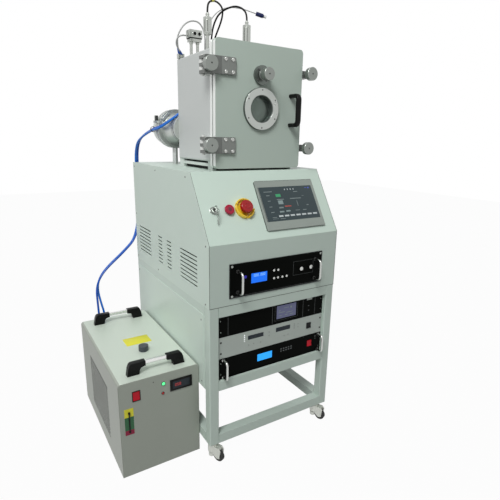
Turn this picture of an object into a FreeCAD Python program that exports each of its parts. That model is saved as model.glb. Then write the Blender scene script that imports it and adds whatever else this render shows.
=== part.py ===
import math
import os

import FreeCAD
import Part

Vector = FreeCAD.Vector
Placement = FreeCAD.Placement
Rotation = FreeCAD.Rotation

axis_x = Vector(1, 0, 0)
axis_y = Vector(0, 1, 0)
axis_z = Vector(0, 0, 1)

# General fits, in millimetres.
running_gap = 0.05
curved_gap = 0.3
panel_gap = 0.5

# Cabinet: x runs right from the left side, y runs back from the front, z up from the floor.
cabinet_width = 600.0
cabinet_depth = 830.0
tube = 40.0
tube_radius = 4.0
frame_bottom = 72.0
mid_rail_bottom = 308.0
rack_bottom = mid_rail_bottom + tube
frame_top = 654.0
rack_top = frame_top - tube
sheet = 2.0

# Console: a sheet metal shell with a sloping control face.
slope_bottom = 891.0
slope_top = 1137.0
slope_run = 154.0
slope_angle = math.degrees(math.atan2(slope_top - slope_bottom, slope_run))
slope_lean = math.radians(90.0 - slope_angle)


def box(low, high):
    return Part.makeBox(high[0] - low[0], high[1] - low[1], high[2] - low[2], Vector(*low))


def rod(start, direction, length, radius):
    return Part.makeCylinder(radius, length, Vector(*start), Vector(*direction))


def ring(start, direction, length, outer, inner):
    return rod(start, direction, length, outer).cut(rod(start, direction, length, inner))


def join(shapes):
    solid = shapes[0]
    for shape in shapes[1:]:
        solid = solid.fuse(shape)
    return solid.removeSplitter()


def edges_along(shape, direction, accept=None):
    found = []
    for edge in shape.Edges:
        ends = [vertex.Point for vertex in edge.Vertexes]
        if len(ends) != 2 or not isinstance(edge.Curve, Part.Line):
            continue
        along = ends[1].sub(ends[0]).normalize()
        if abs(along.dot(direction)) > 0.999 and (accept is None or accept(edge.CenterOfMass)):
            found.append(edge)
    return found


def rounded(shape, direction, radius, accept=None):
    return shape.makeFillet(radius, edges_along(shape, direction, accept))


def rounded_box(low, high, direction, radius):
    return rounded(box(low, high), direction, radius)


def profile_x(points, x_low, x_high):
    wire = Part.makePolygon([Vector(x_low, y, z) for y, z in points + points[:1]])
    return Part.Face(wire).extrude(Vector(x_high - x_low, 0, 0))


def profile_y(points, y_low, y_high):
    wire = Part.makePolygon([Vector(x, y_low, z) for x, z in points + points[:1]])
    return Part.Face(wire).extrude(Vector(0, y_high - y_low, 0))


def profile_z(points, z_low, z_high):
    wire = Part.makePolygon([Vector(x, y, z_low) for x, y in points + points[:1]])
    return Part.Face(wire).extrude(Vector(0, 0, z_high - z_low))


def turned(points, base, direction):
    wire = Part.makePolygon([Vector(radius, 0, height) for radius, height in points + points[:1]])
    solid = Part.Face(wire).revolve(Vector(0, 0, 0), axis_z, 360)
    solid.Placement = Placement(Vector(*base), Rotation(axis_z, Vector(*direction)))
    return solid


def on_slope(shape):
    shape = shape.copy()
    to_slope = Placement(Vector(0, 0, slope_bottom), Rotation(axis_x, slope_angle))
    shape.Placement = to_slope.multiply(shape.Placement)
    return shape


def bow(ends, reach, direction, radius, corner):
    first = Vector(*ends[0])
    last = Vector(*ends[1])
    out = Vector(*direction).multiply(reach)
    points = [first, first.add(out), last.add(out), last]
    return pipe(points, radius, corner)


def rounded_path(points, corner=None):
    edges = []
    here = points[0]
    radii = []
    for index in range(1, len(points) - 1):
        back = points[index - 1].sub(points[index])
        ahead = points[index + 1].sub(points[index])
        shorter = min(back.Length, ahead.Length)
        back.normalize()
        ahead.normalize()
        turn = math.pi - back.getAngle(ahead)
        bend = corner if corner else 0.45 * shorter / math.tan(turn / 2)
        leave = bend * math.tan(turn / 2)
        start = points[index].add(Vector(back).multiply(leave))
        end = points[index].add(Vector(ahead).multiply(leave))
        bisector = back.add(ahead).normalize()
        depth = bend / math.cos(turn / 2) - bend
        middle = points[index].add(bisector.multiply(depth))
        edges.append(Part.LineSegment(here, start).toShape())
        edges.append(Part.Arc(start, middle, end).toShape())
        radii.append(bend)
        here = end
    edges.append(Part.LineSegment(here, points[-1]).toShape())
    return Part.Wire(edges), radii


def pipe(points, radius, corner=None, label=None):
    wire, radii = rounded_path(points, corner)
    if label:
        print(label, "bend radii in mm:", [round(bend) for bend in radii])
    along = points[1].sub(points[0])
    section = Part.Wire(Part.makeCircle(radius, points[0], along))
    return wire.makePipeShell([section], True, True)


parts = {}

# Frame of square tube, with two rack strips behind the front posts.
strip_reach = 26.0
strip_front = 15.0


def make_frame():
    bars = []
    for x in (0.0, cabinet_width - tube):
        for y in (0.0, cabinet_depth - tube):
            post = box((x, y, frame_bottom), (x + tube, y + tube, frame_top))
            bars.append(rounded(post, axis_z, tube_radius))
    for z in (frame_bottom, mid_rail_bottom, rack_top):
        for y in (0.0, cabinet_depth - tube):
            bars.append(box((tube, y, z), (cabinet_width - tube, y + tube, z + tube)))
        for x in (0.0, cabinet_width - tube):
            bars.append(box((x, tube, z), (x + tube, cabinet_depth - tube, z + tube)))
    for x in (tube, cabinet_width - tube - strip_reach):
        bars.append(box((x, strip_front, rack_bottom), (x + strip_reach, strip_front + sheet, rack_top)))
    return bars


parts["frame"] = make_frame()

# Generator panel cut-out and the control holes of the console shell.
generator_left = 82.0
generator_margin = 78.0
generator_right = cabinet_width - generator_margin
generator_bottom = 682.0
generator_height = 132.5
generator_top = generator_bottom + generator_height
generator_plate = 3.0
generator_depth = 400.0
generator_edge = 10.0
generator_lip = 4.0
key_x = 55.0
key_along = 132.0
push_x = 116.0
push_along = 129.0
stop_x = 183.0
stop_along = 130.0
screen_gap = 74.0
screen_margin = 57.0
screen_left = stop_x + screen_gap
screen_right = cabinet_width - screen_margin
screen_low = 31.0
screen_high = 239.0
screen_edge = 8.0
screen_depth = 38.0
control_hole = 11.0
seam = 1.5
service_margin = 60.0


def shell_outline(inset):
    lean_front = inset * math.tan(slope_lean / 2)
    lean_top = inset * math.tan(math.radians(slope_angle) / 2)
    return [
        (inset, frame_top + inset),
        (inset, slope_bottom - lean_front),
        (slope_run + lean_top, slope_top - inset),
        (cabinet_depth - inset, slope_top - inset),
        (cabinet_depth - inset, frame_top + inset),
    ]


def make_console_shell():
    left = sheet
    right = cabinet_width - sheet
    shell = profile_x(shell_outline(0.0), left, right)
    shell = shell.cut(profile_x(shell_outline(sheet), left, right))
    panel_hole = box(
        (generator_left + generator_edge - 1, -1, generator_bottom + generator_lip),
        (generator_right - generator_edge + 1, sheet + 1, generator_top - generator_lip),
    )
    floor_hole = box(
        (tube, tube, frame_top - 1), (cabinet_width - tube, cabinet_depth - tube, frame_top + sheet + 1)
    )
    groove = box((0, -1, frame_top - 1), (cabinet_width, seam, frame_top + seam))
    service_hole = box(
        (service_margin, cabinet_depth - sheet - 1, frame_top + service_margin),
        (cabinet_width - service_margin, cabinet_depth + 1, slope_top - service_margin),
    )
    screen_hole = on_slope(
        box(
            (screen_left + screen_edge - 1, screen_low + screen_edge - 1, -sheet - 1),
            (screen_right - screen_edge + 1, screen_high - screen_edge + 1, 1),
        )
    )
    holes = [panel_hole, floor_hole, groove, service_hole, screen_hole]
    for x, along in ((key_x, key_along), (push_x, push_along), (stop_x, stop_along)):
        holes.append(on_slope(rod((x, along, -sheet - 1), (0, 0, 1), sheet + 2, control_hole)))
    return shell.cut(Part.makeCompound(holes))


parts["console_shell"] = [make_console_shell()]

# Side plates with louvre slots, lower plates and back plates.
louvre_bottom = 713.0
louvre_pitch = 16.5
louvre_height = 5.5
louvre_count = 8
louvre_groups = (
    (cabinet_depth - 218.0, cabinet_depth - 54.0),
    (cabinet_depth - 368.0, cabinet_depth - 318.0),
    (cabinet_depth - 474.0, cabinet_depth - 425.0),
    (99.0, 260.0),
)
lower_front = tube + 10.0
lower_back = cabinet_depth - 18.0
lower_bottom = mid_rail_bottom + 2.0
lower_top = frame_top - 36.0
lower_plate = 1.5


def make_panels():
    plates = []
    for x, out in ((0.0, -1), (cabinet_width - sheet, 1)):
        plate = profile_x(shell_outline(0.0), x, x + sheet)
        slots = []
        for y_low, y_high in louvre_groups:
            for index in range(louvre_count):
                z = louvre_bottom + index * louvre_pitch - louvre_height / 2
                slots.append(box((x - 1, y_low, z), (x + sheet + 1, y_high, z + louvre_height)))
        plates.append(plate.cut(Part.makeCompound(slots)))
        skin = x - lower_plate if out < 0 else x + sheet
        plates.append(box((skin, lower_front, lower_bottom), (skin + lower_plate, lower_back, lower_top)))
    back = cabinet_depth
    reach = service_margin - 15
    plates.append(
        box((reach, back, frame_top + reach), (cabinet_width - reach, back + lower_plate, slope_top - reach)),
    )
    plates.append(box((15, back, lower_bottom), (cabinet_width - 15, back + lower_plate, lower_top)))
    return plates


parts["cabinet_panels"] = make_panels()

# Radio frequency generator: a front plate with its case behind.
control_front = -generator_plate
button_places = ((278, 766), (298, 765), (279, 734), (298, 734), (319, 734), (340, 734))
button_radius = 4.5
button_out = 3.5
button_root = 5.0
button_travel = 1.5
knob_places = ((generator_right - 117, 757), (generator_right - 68, 758))
knob_radius = 8.0
knob_depth = 15.0
knob_gap = 1.0
knob_shaft = 3.0
shaft_root = 9.0
window_depth = 1.0
display_area = (176.0, 248.0, 728.0, 767.0)


def window_box(area, face, depth, gap):
    x_low, x_high, z_low, z_high = area
    return box((x_low - gap, face, z_low - gap), (x_high + gap, face + depth, z_high + gap))


def make_generator():
    plate = box((generator_left, control_front, generator_bottom), (generator_right, 0, generator_top))
    case = box(
        (generator_left + generator_edge, 0, generator_bottom + generator_lip + 1),
        (generator_right - generator_edge, generator_depth, generator_top - generator_lip - 1),
    )
    body = join([plate, case])
    holes = [window_box(display_area, control_front - 1, window_depth + 1, 0)]
    for x, z in button_places:
        depth = button_root + generator_plate + button_travel + 1
        holes.append(rod((x, control_front - 1, z), (0, 1, 0), depth, button_radius + curved_gap))
    for x, z in knob_places:
        depth = shaft_root + generator_plate + 2
        holes.append(rod((x, control_front - 1, z), (0, 1, 0), depth, knob_shaft + running_gap))
    return [body.cut(Part.makeCompound(holes))]


parts["rf_generator"] = make_generator()

for number, (x, z) in enumerate(button_places, start=1):
    start = (x, control_front - button_out, z)
    parts[f"generator_button_{number}"] = [
        rod(start, (0, 1, 0), button_out + generator_plate + button_root, button_radius)
    ]

for number, (x, z) in enumerate(knob_places, start=1):
    cap_start = control_front - knob_gap - knob_depth
    cap = rod((x, cap_start, z), (0, 1, 0), knob_depth, knob_radius)
    cap = cap.makeChamfer(1.5, [edge for edge in cap.Edges if abs(edge.CenterOfMass.y - cap_start) < 0.01])
    shaft = rod((x, control_front - knob_gap, z), (0, 1, 0), knob_gap + shaft_root, knob_shaft)
    parts[f"generator_knob_{number}"] = [join([cap, shaft])]

# Three rack units behind the frame's front opening.
unit_front = 12.0
unit_left = tube + 6.0
unit_right = cabinet_width - tube - 6.0
unit_pitch = (rack_top - rack_bottom) / 3
unit_height = unit_pitch - 0.8
unit_plate = 3.0
unit_case = unit_right - unit_left - 58.0
unit_depth = 380.0
unit_rest = 0.2
ear_hole = 3.5
ear_inset = 8.0
ear_lift = 21.0
meter_display = (311.0, 410.0, 546.0, 603.0)
flow_display = (222.0, 294.0, 380.0, 411.0)
match_windows = ((175.0, 249.0, 487.0, 505.0), (310.0, 383.0, 489.0, 508.0))
flow_rocker = (unit_right - 74.0, unit_right - 51.0, 381.0, 410.0)
match_rocker = (unit_right - 83.0, unit_right - 59.0, 468.0, 495.0)
rocker_depth = 14.0
rocker_lift = 3.0
rocker_pivot = 3.0
rocker_pin = 2.0
rocker_pin_over = 0.25


def unit_floor(index):
    return rack_bottom + unit_rest + index * unit_pitch


def make_unit(index, windows, rockers):
    low = unit_floor(index)
    plate = box((unit_left, unit_front, low), (unit_right, unit_front + unit_plate, low + unit_height))
    case_left = (unit_left + unit_right - unit_case) / 2
    case = box(
        (case_left, unit_front + unit_plate, low + 0.5),
        (case_left + unit_case, unit_front + unit_plate + unit_depth, low + unit_height - 1),
    )
    body = join([plate, case])
    holes = []
    for area in windows:
        holes.append(window_box(area, unit_front - 1, window_depth + 1, 0))
    for area in rockers:
        holes.append(window_box(area, unit_front - 1, rocker_depth + rocker_lift + 3, curved_gap))
    for x in (unit_left + ear_inset, unit_right - ear_inset):
        for z in (low + ear_lift, low + unit_height - ear_lift):
            holes.append(rod((x, unit_front - 1, z), (0, 1, 0), unit_plate + 2, ear_hole))
    return body.cut(Part.makeCompound(holes))


def make_rocker(area, face):
    x_low, x_high, z_low, z_high = area
    middle = (z_low + z_high) / 2
    points = [
        (face - rocker_lift, z_low + 1.5),
        (face - 0.6, middle),
        (face - rocker_lift + 1.0, z_high - 1.5),
        (face + rocker_pivot, z_high - 2.5),
        (face + rocker_depth, middle + 3.0),
        (face + rocker_depth, middle - 3.0),
        (face + rocker_pivot, z_low + 2.5),
    ]
    length = x_high - x_low + 2 * rocker_pin_over
    pin = rod((x_low - rocker_pin_over, face + rocker_pivot, middle), (1, 0, 0), length, rocker_pin)
    return join([profile_x(points, x_low, x_high), pin])


parts["flow_controller"] = [make_unit(0, (flow_display,), (flow_rocker,))]
parts["match_controller"] = [make_unit(1, match_windows, (match_rocker,))]
parts["power_meter"] = [make_unit(2, (meter_display,), ())]
parts["flow_rocker"] = [make_rocker(flow_rocker, unit_front)]
parts["match_rocker"] = [make_rocker(match_rocker, unit_front)]

# Bow handles of the generator and the lowest rack unit.
bow_radius = 4.5
bow_corner = 14.0
bow_reach = 40.0
foot_radius = 7.0
foot_height = 4.0
generator_bows = (generator_left + 33.0, generator_right - 40.0)
generator_bow_feet = (704.0, 785.0)
rack_bows = (unit_left + 18.0, unit_right - 18.0)
rack_bow_feet = (356.0, 430.0)
rack_bow_reach = 34.0


def make_bow(x, face, feet, reach):
    ends = [(x, face - foot_height, feet[0]), (x, face - foot_height, feet[1])]
    solids = [bow(ends, reach - foot_height, (0, -1, 0), bow_radius, bow_corner)]
    for z in feet:
        solids.append(rod((x, face - foot_height, z), (0, 1, 0), foot_height, foot_radius))
    return solids


parts["panel_handles"] = []
for x in generator_bows:
    parts["panel_handles"] += make_bow(x, control_front, generator_bow_feet, bow_reach)
for x in rack_bows:
    parts["panel_handles"] += make_bow(x, unit_front, rack_bow_feet, rack_bow_reach)

# Touch panel, key switch, push button and emergency stop on the sloping face.
bezel_height = 6.0
glass_left = 269.0
glass_low = 66.0
glass_high = 212.0
glass_right = screen_right - (glass_left - screen_left)


def make_touch_panel():
    bezel = rounded_box((screen_left, screen_low, 0), (screen_right, screen_high, bezel_height), axis_z, 4.0)
    body = box(
        (screen_left + screen_edge, screen_low + screen_edge, -screen_depth),
        (screen_right - screen_edge, screen_high - screen_edge, 0),
    )
    pocket = box(
        (glass_left, glass_low, bezel_height - window_depth), (glass_right, glass_high, bezel_height + 1)
    )
    return on_slope(join([bezel, body]).cut(pocket))


parts["touch_panel"] = [make_touch_panel()]

barrel_radius = 13.0
barrel_height = 11.0
plug_radius = 7.5
plug_depth = 12.0
thread_radius = 10.7
thread_depth = 30.0
push_ring = 15.5
push_ring_height = 2.0
push_radius = 19.0
push_stem = 8.0
push_travel = 4.0
push_low = push_ring_height + push_travel + panel_gap
push_high = 14.0
collar_radius = 40.0
collar_base = 3.0
collar_height = 14.0
collar_wall = 6.0
collar_gaps = ((-8.0, 34.0), (262.0, 280.0))
stop_radius = 25.0
stop_stem = 12.0
stop_low = 17.0
stop_high = 32.0
stop_travel = 5.0


def sector(center, radius, start, end, low, high):
    points = [center]
    steps = 6
    for index in range(steps + 1):
        angle = math.radians(start + (end - start) * index / steps)
        points.append((center[0] + radius * math.cos(angle), center[1] + radius * math.sin(angle)))
    return profile_z(points, low, high)


def make_bezels():
    key_ring = join(
        [
            ring((key_x, key_along, 0), (0, 0, 1), barrel_height, barrel_radius, plug_radius + curved_gap),
            ring(
                (key_x, key_along, -thread_depth),
                (0, 0, 1),
                thread_depth,
                thread_radius,
                plug_radius + curved_gap,
            ),
        ]
    )
    push = join(
        [
            ring((push_x, push_along, 0), (0, 0, 1), push_ring_height, push_ring, push_stem + curved_gap),
            ring(
                (push_x, push_along, -thread_depth),
                (0, 0, 1),
                thread_depth,
                thread_radius,
                push_stem + curved_gap,
            ),
        ]
    )
    center = (stop_x, stop_along)
    collar = ring((stop_x, stop_along, 0), (0, 0, 1), collar_base, collar_radius, stop_stem + panel_gap)
    wall = ring(
        (stop_x, stop_along, collar_base),
        (0, 0, 1),
        collar_height - collar_base,
        collar_radius,
        collar_radius - collar_wall,
    )
    for start, end in collar_gaps:
        wall = wall.cut(sector(center, collar_radius * 1.3, start, end, collar_base, collar_height + 1))
    socket = ring(
        (stop_x, stop_along, -thread_depth), (0, 0, 1), thread_depth, thread_radius, push_stem + curved_gap
    )
    return [on_slope(shape) for shape in (key_ring, push, collar.fuse(wall).removeSplitter(), socket)]


parts["switch_bezels"] = make_bezels()

key_bow_radius = 10.0
key_thickness = 2.5
key_reach = 34.0
loop_radius = 8.0
loop_wire = 0.9
spare_length = 38.0
spare_eye_radius = 7.0
spare_hole_radius = 4.0


def make_key():
    plug = rod((key_x, key_along, -plug_depth), (0, 0, 1), plug_depth + barrel_height, plug_radius)
    half = key_thickness / 2
    low = barrel_height
    blade = box(
        (key_x - half, key_along - 4, low), (key_x + half, key_along + 4, key_reach - key_bow_radius)
    )
    head = rod(
        (key_x - half, key_along, key_reach - key_bow_radius), (1, 0, 0), key_thickness, key_bow_radius
    )
    hole = rod((key_x - 5, key_along - 3, key_reach - 6), (1, 0, 0), 10, loop_wire + curved_gap)
    turning = join([plug, blade, head]).cut(hole)
    loop_height = key_reach - 6
    loop_middle = key_along - 3 - loop_radius
    loop = Part.makeTorus(loop_radius, loop_wire, Vector(key_x, loop_middle, loop_height), axis_z)
    spare_eye = ring((-1, 0, 0), (1, 0, 0), 2, spare_eye_radius, spare_hole_radius)
    spare_blade = box((-1, -spare_length, -2.5), (1, -spare_hole_radius - 1, 2.5))
    spare = join([spare_eye, spare_blade])
    rest = spare_hole_radius - loop_wire - curved_gap
    hang = Vector(key_x, loop_middle - loop_radius - rest, loop_height)
    spare.Placement = Placement(hang, Rotation(axis_x, math.degrees(slope_lean)))
    return [on_slope(shape) for shape in (turning, loop, spare)]


parts["key"] = make_key()


def make_push():
    head = rod((push_x, push_along, push_low), (0, 0, 1), push_high - push_low, push_radius)
    head = head.makeFillet(3.0, [edge for edge in head.Edges if abs(edge.CenterOfMass.z - push_high) < 0.01])
    stem = rod((push_x, push_along, -thread_depth / 2), (0, 0, 1), thread_depth / 2 + push_low, push_stem)
    return on_slope(join([head, stem]))


parts["push_button"] = [make_push()]


def make_stop():
    head = rod((stop_x, stop_along, stop_low), (0, 0, 1), stop_high - stop_low, stop_radius)
    head = head.makeFillet(5.0, [edge for edge in head.Edges if abs(edge.CenterOfMass.z - stop_high) < 0.01])
    neck = rod((stop_x, stop_along, collar_base + stop_travel + 1), (0, 0, 1), stop_low, stop_stem)
    stem = rod((stop_x, stop_along, -thread_depth / 2), (0, 0, 1), thread_depth, push_stem)
    return on_slope(join([head, neck, stem]))


parts["estop_button"] = [make_stop()]

# Chamber: a thick walled box with a flanged mouth, standing on four legs and two rails.
door_left = 108.0
door_right = 500.0
door_bottom = 1145.0
door_top = 1601.0
door_front = 157.0
door_thick = 18.0
door_back = door_front + door_thick
door_corner = 14.0
seal_gap = 8.0
flange_front = door_back + seal_gap
flange_thick = 16.0
flange_back = flange_front + flange_thick
body_left = 112.0
body_right = 496.0
body_bottom = 1170.0
body_top = 1574.0
body_back = 510.0
wall = 16.0
back_wall = 20.0
port_x = 150.0
port_z = 1296.0
port_radius = 20.0
leg_width = 17.0
leg_inset = 5.0
leg_depth = 39.0
rail_low = 1150.0
rail_high = 1162.0
rail_width = 12.0
barb_radius = 6.0
elbow_reach = 12.0
elbow_over = 5.0
cavity_low = (body_left + wall, flange_front - 1, body_bottom + wall)
cavity_high = (body_right - wall, body_back - back_wall, body_top - wall)
# Routes of the two water hoses from the chamber's back to the chiller's back.
supply_path = [
    (179, 551, 1382),
    (143, 553, 1366),
    (98, 562, 1334),
    (62, 597, 1304),
    (50, 645, 1297),
    (46, 695, 1286),
    (34, 745, 1268),
    (27, 795, 1243),
    (27, 832, 1200),
    (30, 852, 1140),
    (34, 860, 1060),
    (34, 862, 975),
    (32, 860, 890),
    (18, 852, 810),
    (-11, 842, 743),
    (-52, 832, 706),
    (-101, 815, 671),
    (-150, 805, 636),
    (-189, 795, 603),
    (-215, 785, 569),
    (-230, 775, 527),
    (-231, 765, 470),
    (-230, 758, 395),
    (-230, 758, 322),
]
return_path = [
    (164, 537, 1374),
    (128, 540, 1362),
    (91, 549, 1330),
    (53, 588, 1297),
    (42, 643, 1289),
    (37, 693, 1278),
    (25, 742, 1260),
    (16, 791, 1236),
    (16, 828, 1196),
    (19, 850, 1138),
    (23, 858, 1058),
    (23, 863, 973),
    (22, 867, 889),
    (14, 863, 808),
    (-12, 853, 741),
    (-53, 843, 705),
    (-101, 826, 671),
    (-150, 816, 636),
    (-188, 806, 602),
    (-213, 796, 566),
    (-222, 785, 525),
    (-216, 772, 470),
    (-201, 758, 395),
    (-201, 758, 322),
]


def make_chamber():
    flange = rounded_box(
        (door_left, flange_front, door_bottom), (door_right, flange_back, door_top), axis_y, door_corner
    )
    trunk = rounded_box(
        (body_left, flange_back - 1, body_bottom), (body_right, body_back, body_top), axis_y, 6.0
    )
    cavity = rounded_box(cavity_low, cavity_high, axis_y, 8.0)
    port = rod((port_x, body_back - back_wall - 1, port_z), (0, 1, 0), back_wall + 2, port_radius)
    return [join([flange, trunk]).cut(cavity).cut(port)]


parts["chamber_body"] = make_chamber()


def make_chamber_supports():
    solids = []
    for left in (body_left + leg_inset, body_right - leg_inset - leg_width):
        for y in (flange_back, body_back - leg_depth + 6):
            solids.append(box((left, y, slope_top), (left + leg_width, y + leg_depth, body_bottom)))
        rail_x = left + (leg_width - rail_width) / 2
        rail_end = body_back - leg_depth + 6
        solids.append(
            box((rail_x, flange_back + leg_depth, rail_low), (rail_x + rail_width, rail_end, rail_high))
        )
    for path in (supply_path, return_path):
        start = Vector(*path[0])
        along = Vector(*path[1]).sub(start).normalize()
        corner = start.sub(Vector(along).multiply(elbow_reach))
        stub = rod(
            (corner.x, body_back, corner.z), (0, 1, 0), corner.y - body_back + elbow_over, barb_radius
        )
        barb = Part.makeCylinder(barb_radius, elbow_reach, corner, along)
        solids.append(join([stub, barb]))
    return solids


seal_width = 8.0
seal_margin = 12.0
seal_clear = 0.2


def make_seal():
    low = (cavity_low[0] - seal_margin, door_back + seal_clear, cavity_low[2] - seal_margin)
    high = (cavity_high[0] + seal_margin, flange_front, cavity_high[2] + seal_margin)
    outer = rounded_box(low, high, axis_y, 18.0)
    inner_low = (low[0] + seal_width, low[1] - 1, low[2] + seal_width)
    inner_high = (high[0] - seal_width, high[1] + 1, high[2] - seal_width)
    return outer.cut(rounded_box(inner_low, inner_high, axis_y, 10.0))


parts["door_seal"] = [make_seal()]

# Two hinges at the left and two screw clamps at the right.
hinge_x = 80.0
hinge_y = 199.0
hinge_heights = (1232.0, 1510.0)
clamp_heights = (1224.0, 1511.0)
arm_half = 30.0
arm_thick = 8.0
arm_front = door_front - arm_thick
arm_left = 62.0
arm_right = 190.0
arm_corner = 8.0
ear_radius = 13.4
ear_thick = 11.0
ear_offsets = (24.0, 0.0, -24.0)
lug_thick = 12.0
lug_offsets = (12.0, -12.0)
lug_reach = 108.0
pin_radius = 6.0
pin_over = 6.0
hinge_block_low = 186.0
hinge_block_high = 232.0
knob_axis_x = 80.0
clamp_x = 519.0
clamp_stem = 6.0
clamp_ear_left = 500.0
clamp_ear_right = 532.0
clamp_ear_half = 14.0
clamp_block_front = 183.0
clamp_block_back = 205.0
hinge_knob_front = 126.0
hinge_knob_back = 147.0
hinge_knob_radius = 26.0
clamp_knob_front = 112.0
clamp_knob_back = 131.0
clamp_knob_radius = 25.0
dimple_radius = 3.0
stem_gap = 0.4


def make_door_brackets():
    solids = []
    for z in hinge_heights:
        plate = rounded_box(
            (arm_left, arm_front, z - arm_half), (arm_right, door_front, z + arm_half), axis_y, arm_corner
        )
        stem = rod((knob_axis_x, arm_front - 1, z), (0, 1, 0), arm_thick + 2, clamp_stem + running_gap)
        solids.append(plate.cut(stem))
        bore = rod(
            (hinge_x, hinge_y, z - arm_half - 5), (0, 0, 1), 2 * arm_half + 10, pin_radius + running_gap
        )
        for offset in ear_offsets:
            low = z + offset - ear_thick / 2
            arm = box(
                (hinge_x - ear_radius, door_front, low), (hinge_x + ear_radius, hinge_y, low + ear_thick)
            )
            eye = rod((hinge_x, hinge_y, low), (0, 0, 1), ear_thick, ear_radius)
            solids.append(join([arm, eye]).cut(bore))
    for z in clamp_heights:
        ear = rounded_box(
            (clamp_ear_left, door_front, z - clamp_ear_half),
            (clamp_ear_right, door_front + 16, z + clamp_ear_half),
            axis_y,
            3.0,
        )
        hole = rod((clamp_x, door_front - 1, z), (0, 1, 0), 18, clamp_stem + running_gap)
        solids.append(ear.cut(hole))
    return solids


parts["door_brackets"] = make_door_brackets()


def make_chamber_brackets():
    solids = []
    for z in hinge_heights:
        pieces = [
            box(
                (hinge_x + ear_radius + 0.6, hinge_block_low, z - arm_half),
                (lug_reach, hinge_block_high, z + arm_half),
            ),
            box((lug_reach, flange_back, z - arm_half), (body_left, hinge_block_high, z + arm_half)),
        ]
        for offset in lug_offsets:
            low = z + offset - lug_thick / 2
            lug = box(
                (hinge_x, hinge_y - ear_radius, low), (lug_reach, hinge_y + ear_radius, low + lug_thick)
            )
            pieces += [lug, rod((hinge_x, hinge_y, low), (0, 0, 1), lug_thick, ear_radius)]
        block = join(pieces)
        length = 2 * (arm_half + pin_over)
        pin = rod((hinge_x, hinge_y, z - length / 2), (0, 0, 1), length, pin_radius)
        solids += [block.cut(pin), pin]
    for z in clamp_heights:
        solids.append(
            rounded_box(
                (clamp_ear_left, clamp_block_front, z - clamp_ear_half),
                (clamp_ear_right + 3, clamp_block_back, z + clamp_ear_half),
                axis_y,
                3.0,
            )
        )
    return solids


parts["chamber_brackets"] = make_chamber_brackets() + make_chamber_supports()


def make_clamp(x, z, front, back, radius, end):
    head = rod((x, front, z), (0, 1, 0), back - front, radius)
    rims = [edge for edge in head.Edges if abs(edge.CenterOfMass.y - front) < 0.01]
    head = head.makeChamfer(1.5, rims)
    head = head.cut(rod((x, front - 1, z), (0, 1, 0), 3, dimple_radius))
    return join([head, rod((x, back, z), (0, 1, 0), end - back, clamp_stem)])


clamp_end = clamp_block_front - stem_gap
hinge_clamp_end = door_front - stem_gap
parts["hinge_knob_lower"] = [
    make_clamp(
        knob_axis_x, hinge_heights[0], hinge_knob_front, hinge_knob_back, hinge_knob_radius, hinge_clamp_end
    )
]
parts["hinge_knob_upper"] = [
    make_clamp(
        knob_axis_x, hinge_heights[1], hinge_knob_front, hinge_knob_back, hinge_knob_radius, hinge_clamp_end
    )
]
parts["clamp_knob_lower"] = [
    make_clamp(clamp_x, clamp_heights[0], clamp_knob_front, clamp_knob_back, clamp_knob_radius, clamp_end)
]
parts["clamp_knob_upper"] = [
    make_clamp(clamp_x, clamp_heights[1], clamp_knob_front, clamp_knob_back, clamp_knob_radius, clamp_end)
]

# Door with its viewport, grip and shutter.
view_x = 304.0
view_z = 1369.0
view_radius = 50.0
view_ring = 78.0
view_ring_front = 145.0
glass_radius = 57.7
glass_thick = 5.5
glass_recess = 6.0
shutter_x = 304.0
shutter_z = 1491.0
shutter_shaft = 5.0
shutter_boss = 35.0
shutter_boss_depth = 10.0
shutter_disc = 55.0
shutter_plate = 2.0
shutter_plate_front = door_back + 2.0
shutter_knob_front = 98.0
shutter_knob_depth = 22.0
shutter_knob_radius = 23.0
shutter_neck = 9.0


def make_door():
    plate = rounded_box(
        (door_left, door_front, door_bottom), (door_right, door_back, door_top), axis_y, door_corner
    )
    view = rod((view_x, door_front - 1, view_z), (0, 1, 0), door_thick + 2, view_radius)
    recess = rod(
        (view_x, door_back - glass_recess, view_z), (0, 1, 0), glass_recess + 1, glass_radius + curved_gap
    )
    shaft = rod(
        (shutter_x, door_front - 1, shutter_z), (0, 1, 0), door_thick + 2, shutter_shaft + running_gap
    )
    return plate.cut(Part.makeCompound([view, recess, shaft]))


parts["chamber_door"] = [make_door()]


def make_viewport():
    length = door_front - view_ring_front
    rim = ring((view_x, view_ring_front, view_z), (0, 1, 0), length, view_ring, view_radius)
    fronts = [edge for edge in rim.Edges if abs(edge.CenterOfMass.y - view_ring_front) < 0.01]
    rim = rim.makeChamfer(1.5, fronts)
    boss = ring(
        (shutter_x, door_front - shutter_boss_depth, shutter_z),
        (0, 1, 0),
        shutter_boss_depth,
        shutter_boss,
        shutter_shaft + running_gap,
    )
    return [rim, boss]


parts["viewport_ring"] = make_viewport()
parts["viewport_glass"] = [
    rod((view_x, door_back - glass_recess, view_z), (0, 1, 0), glass_thick, glass_radius)
]


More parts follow.
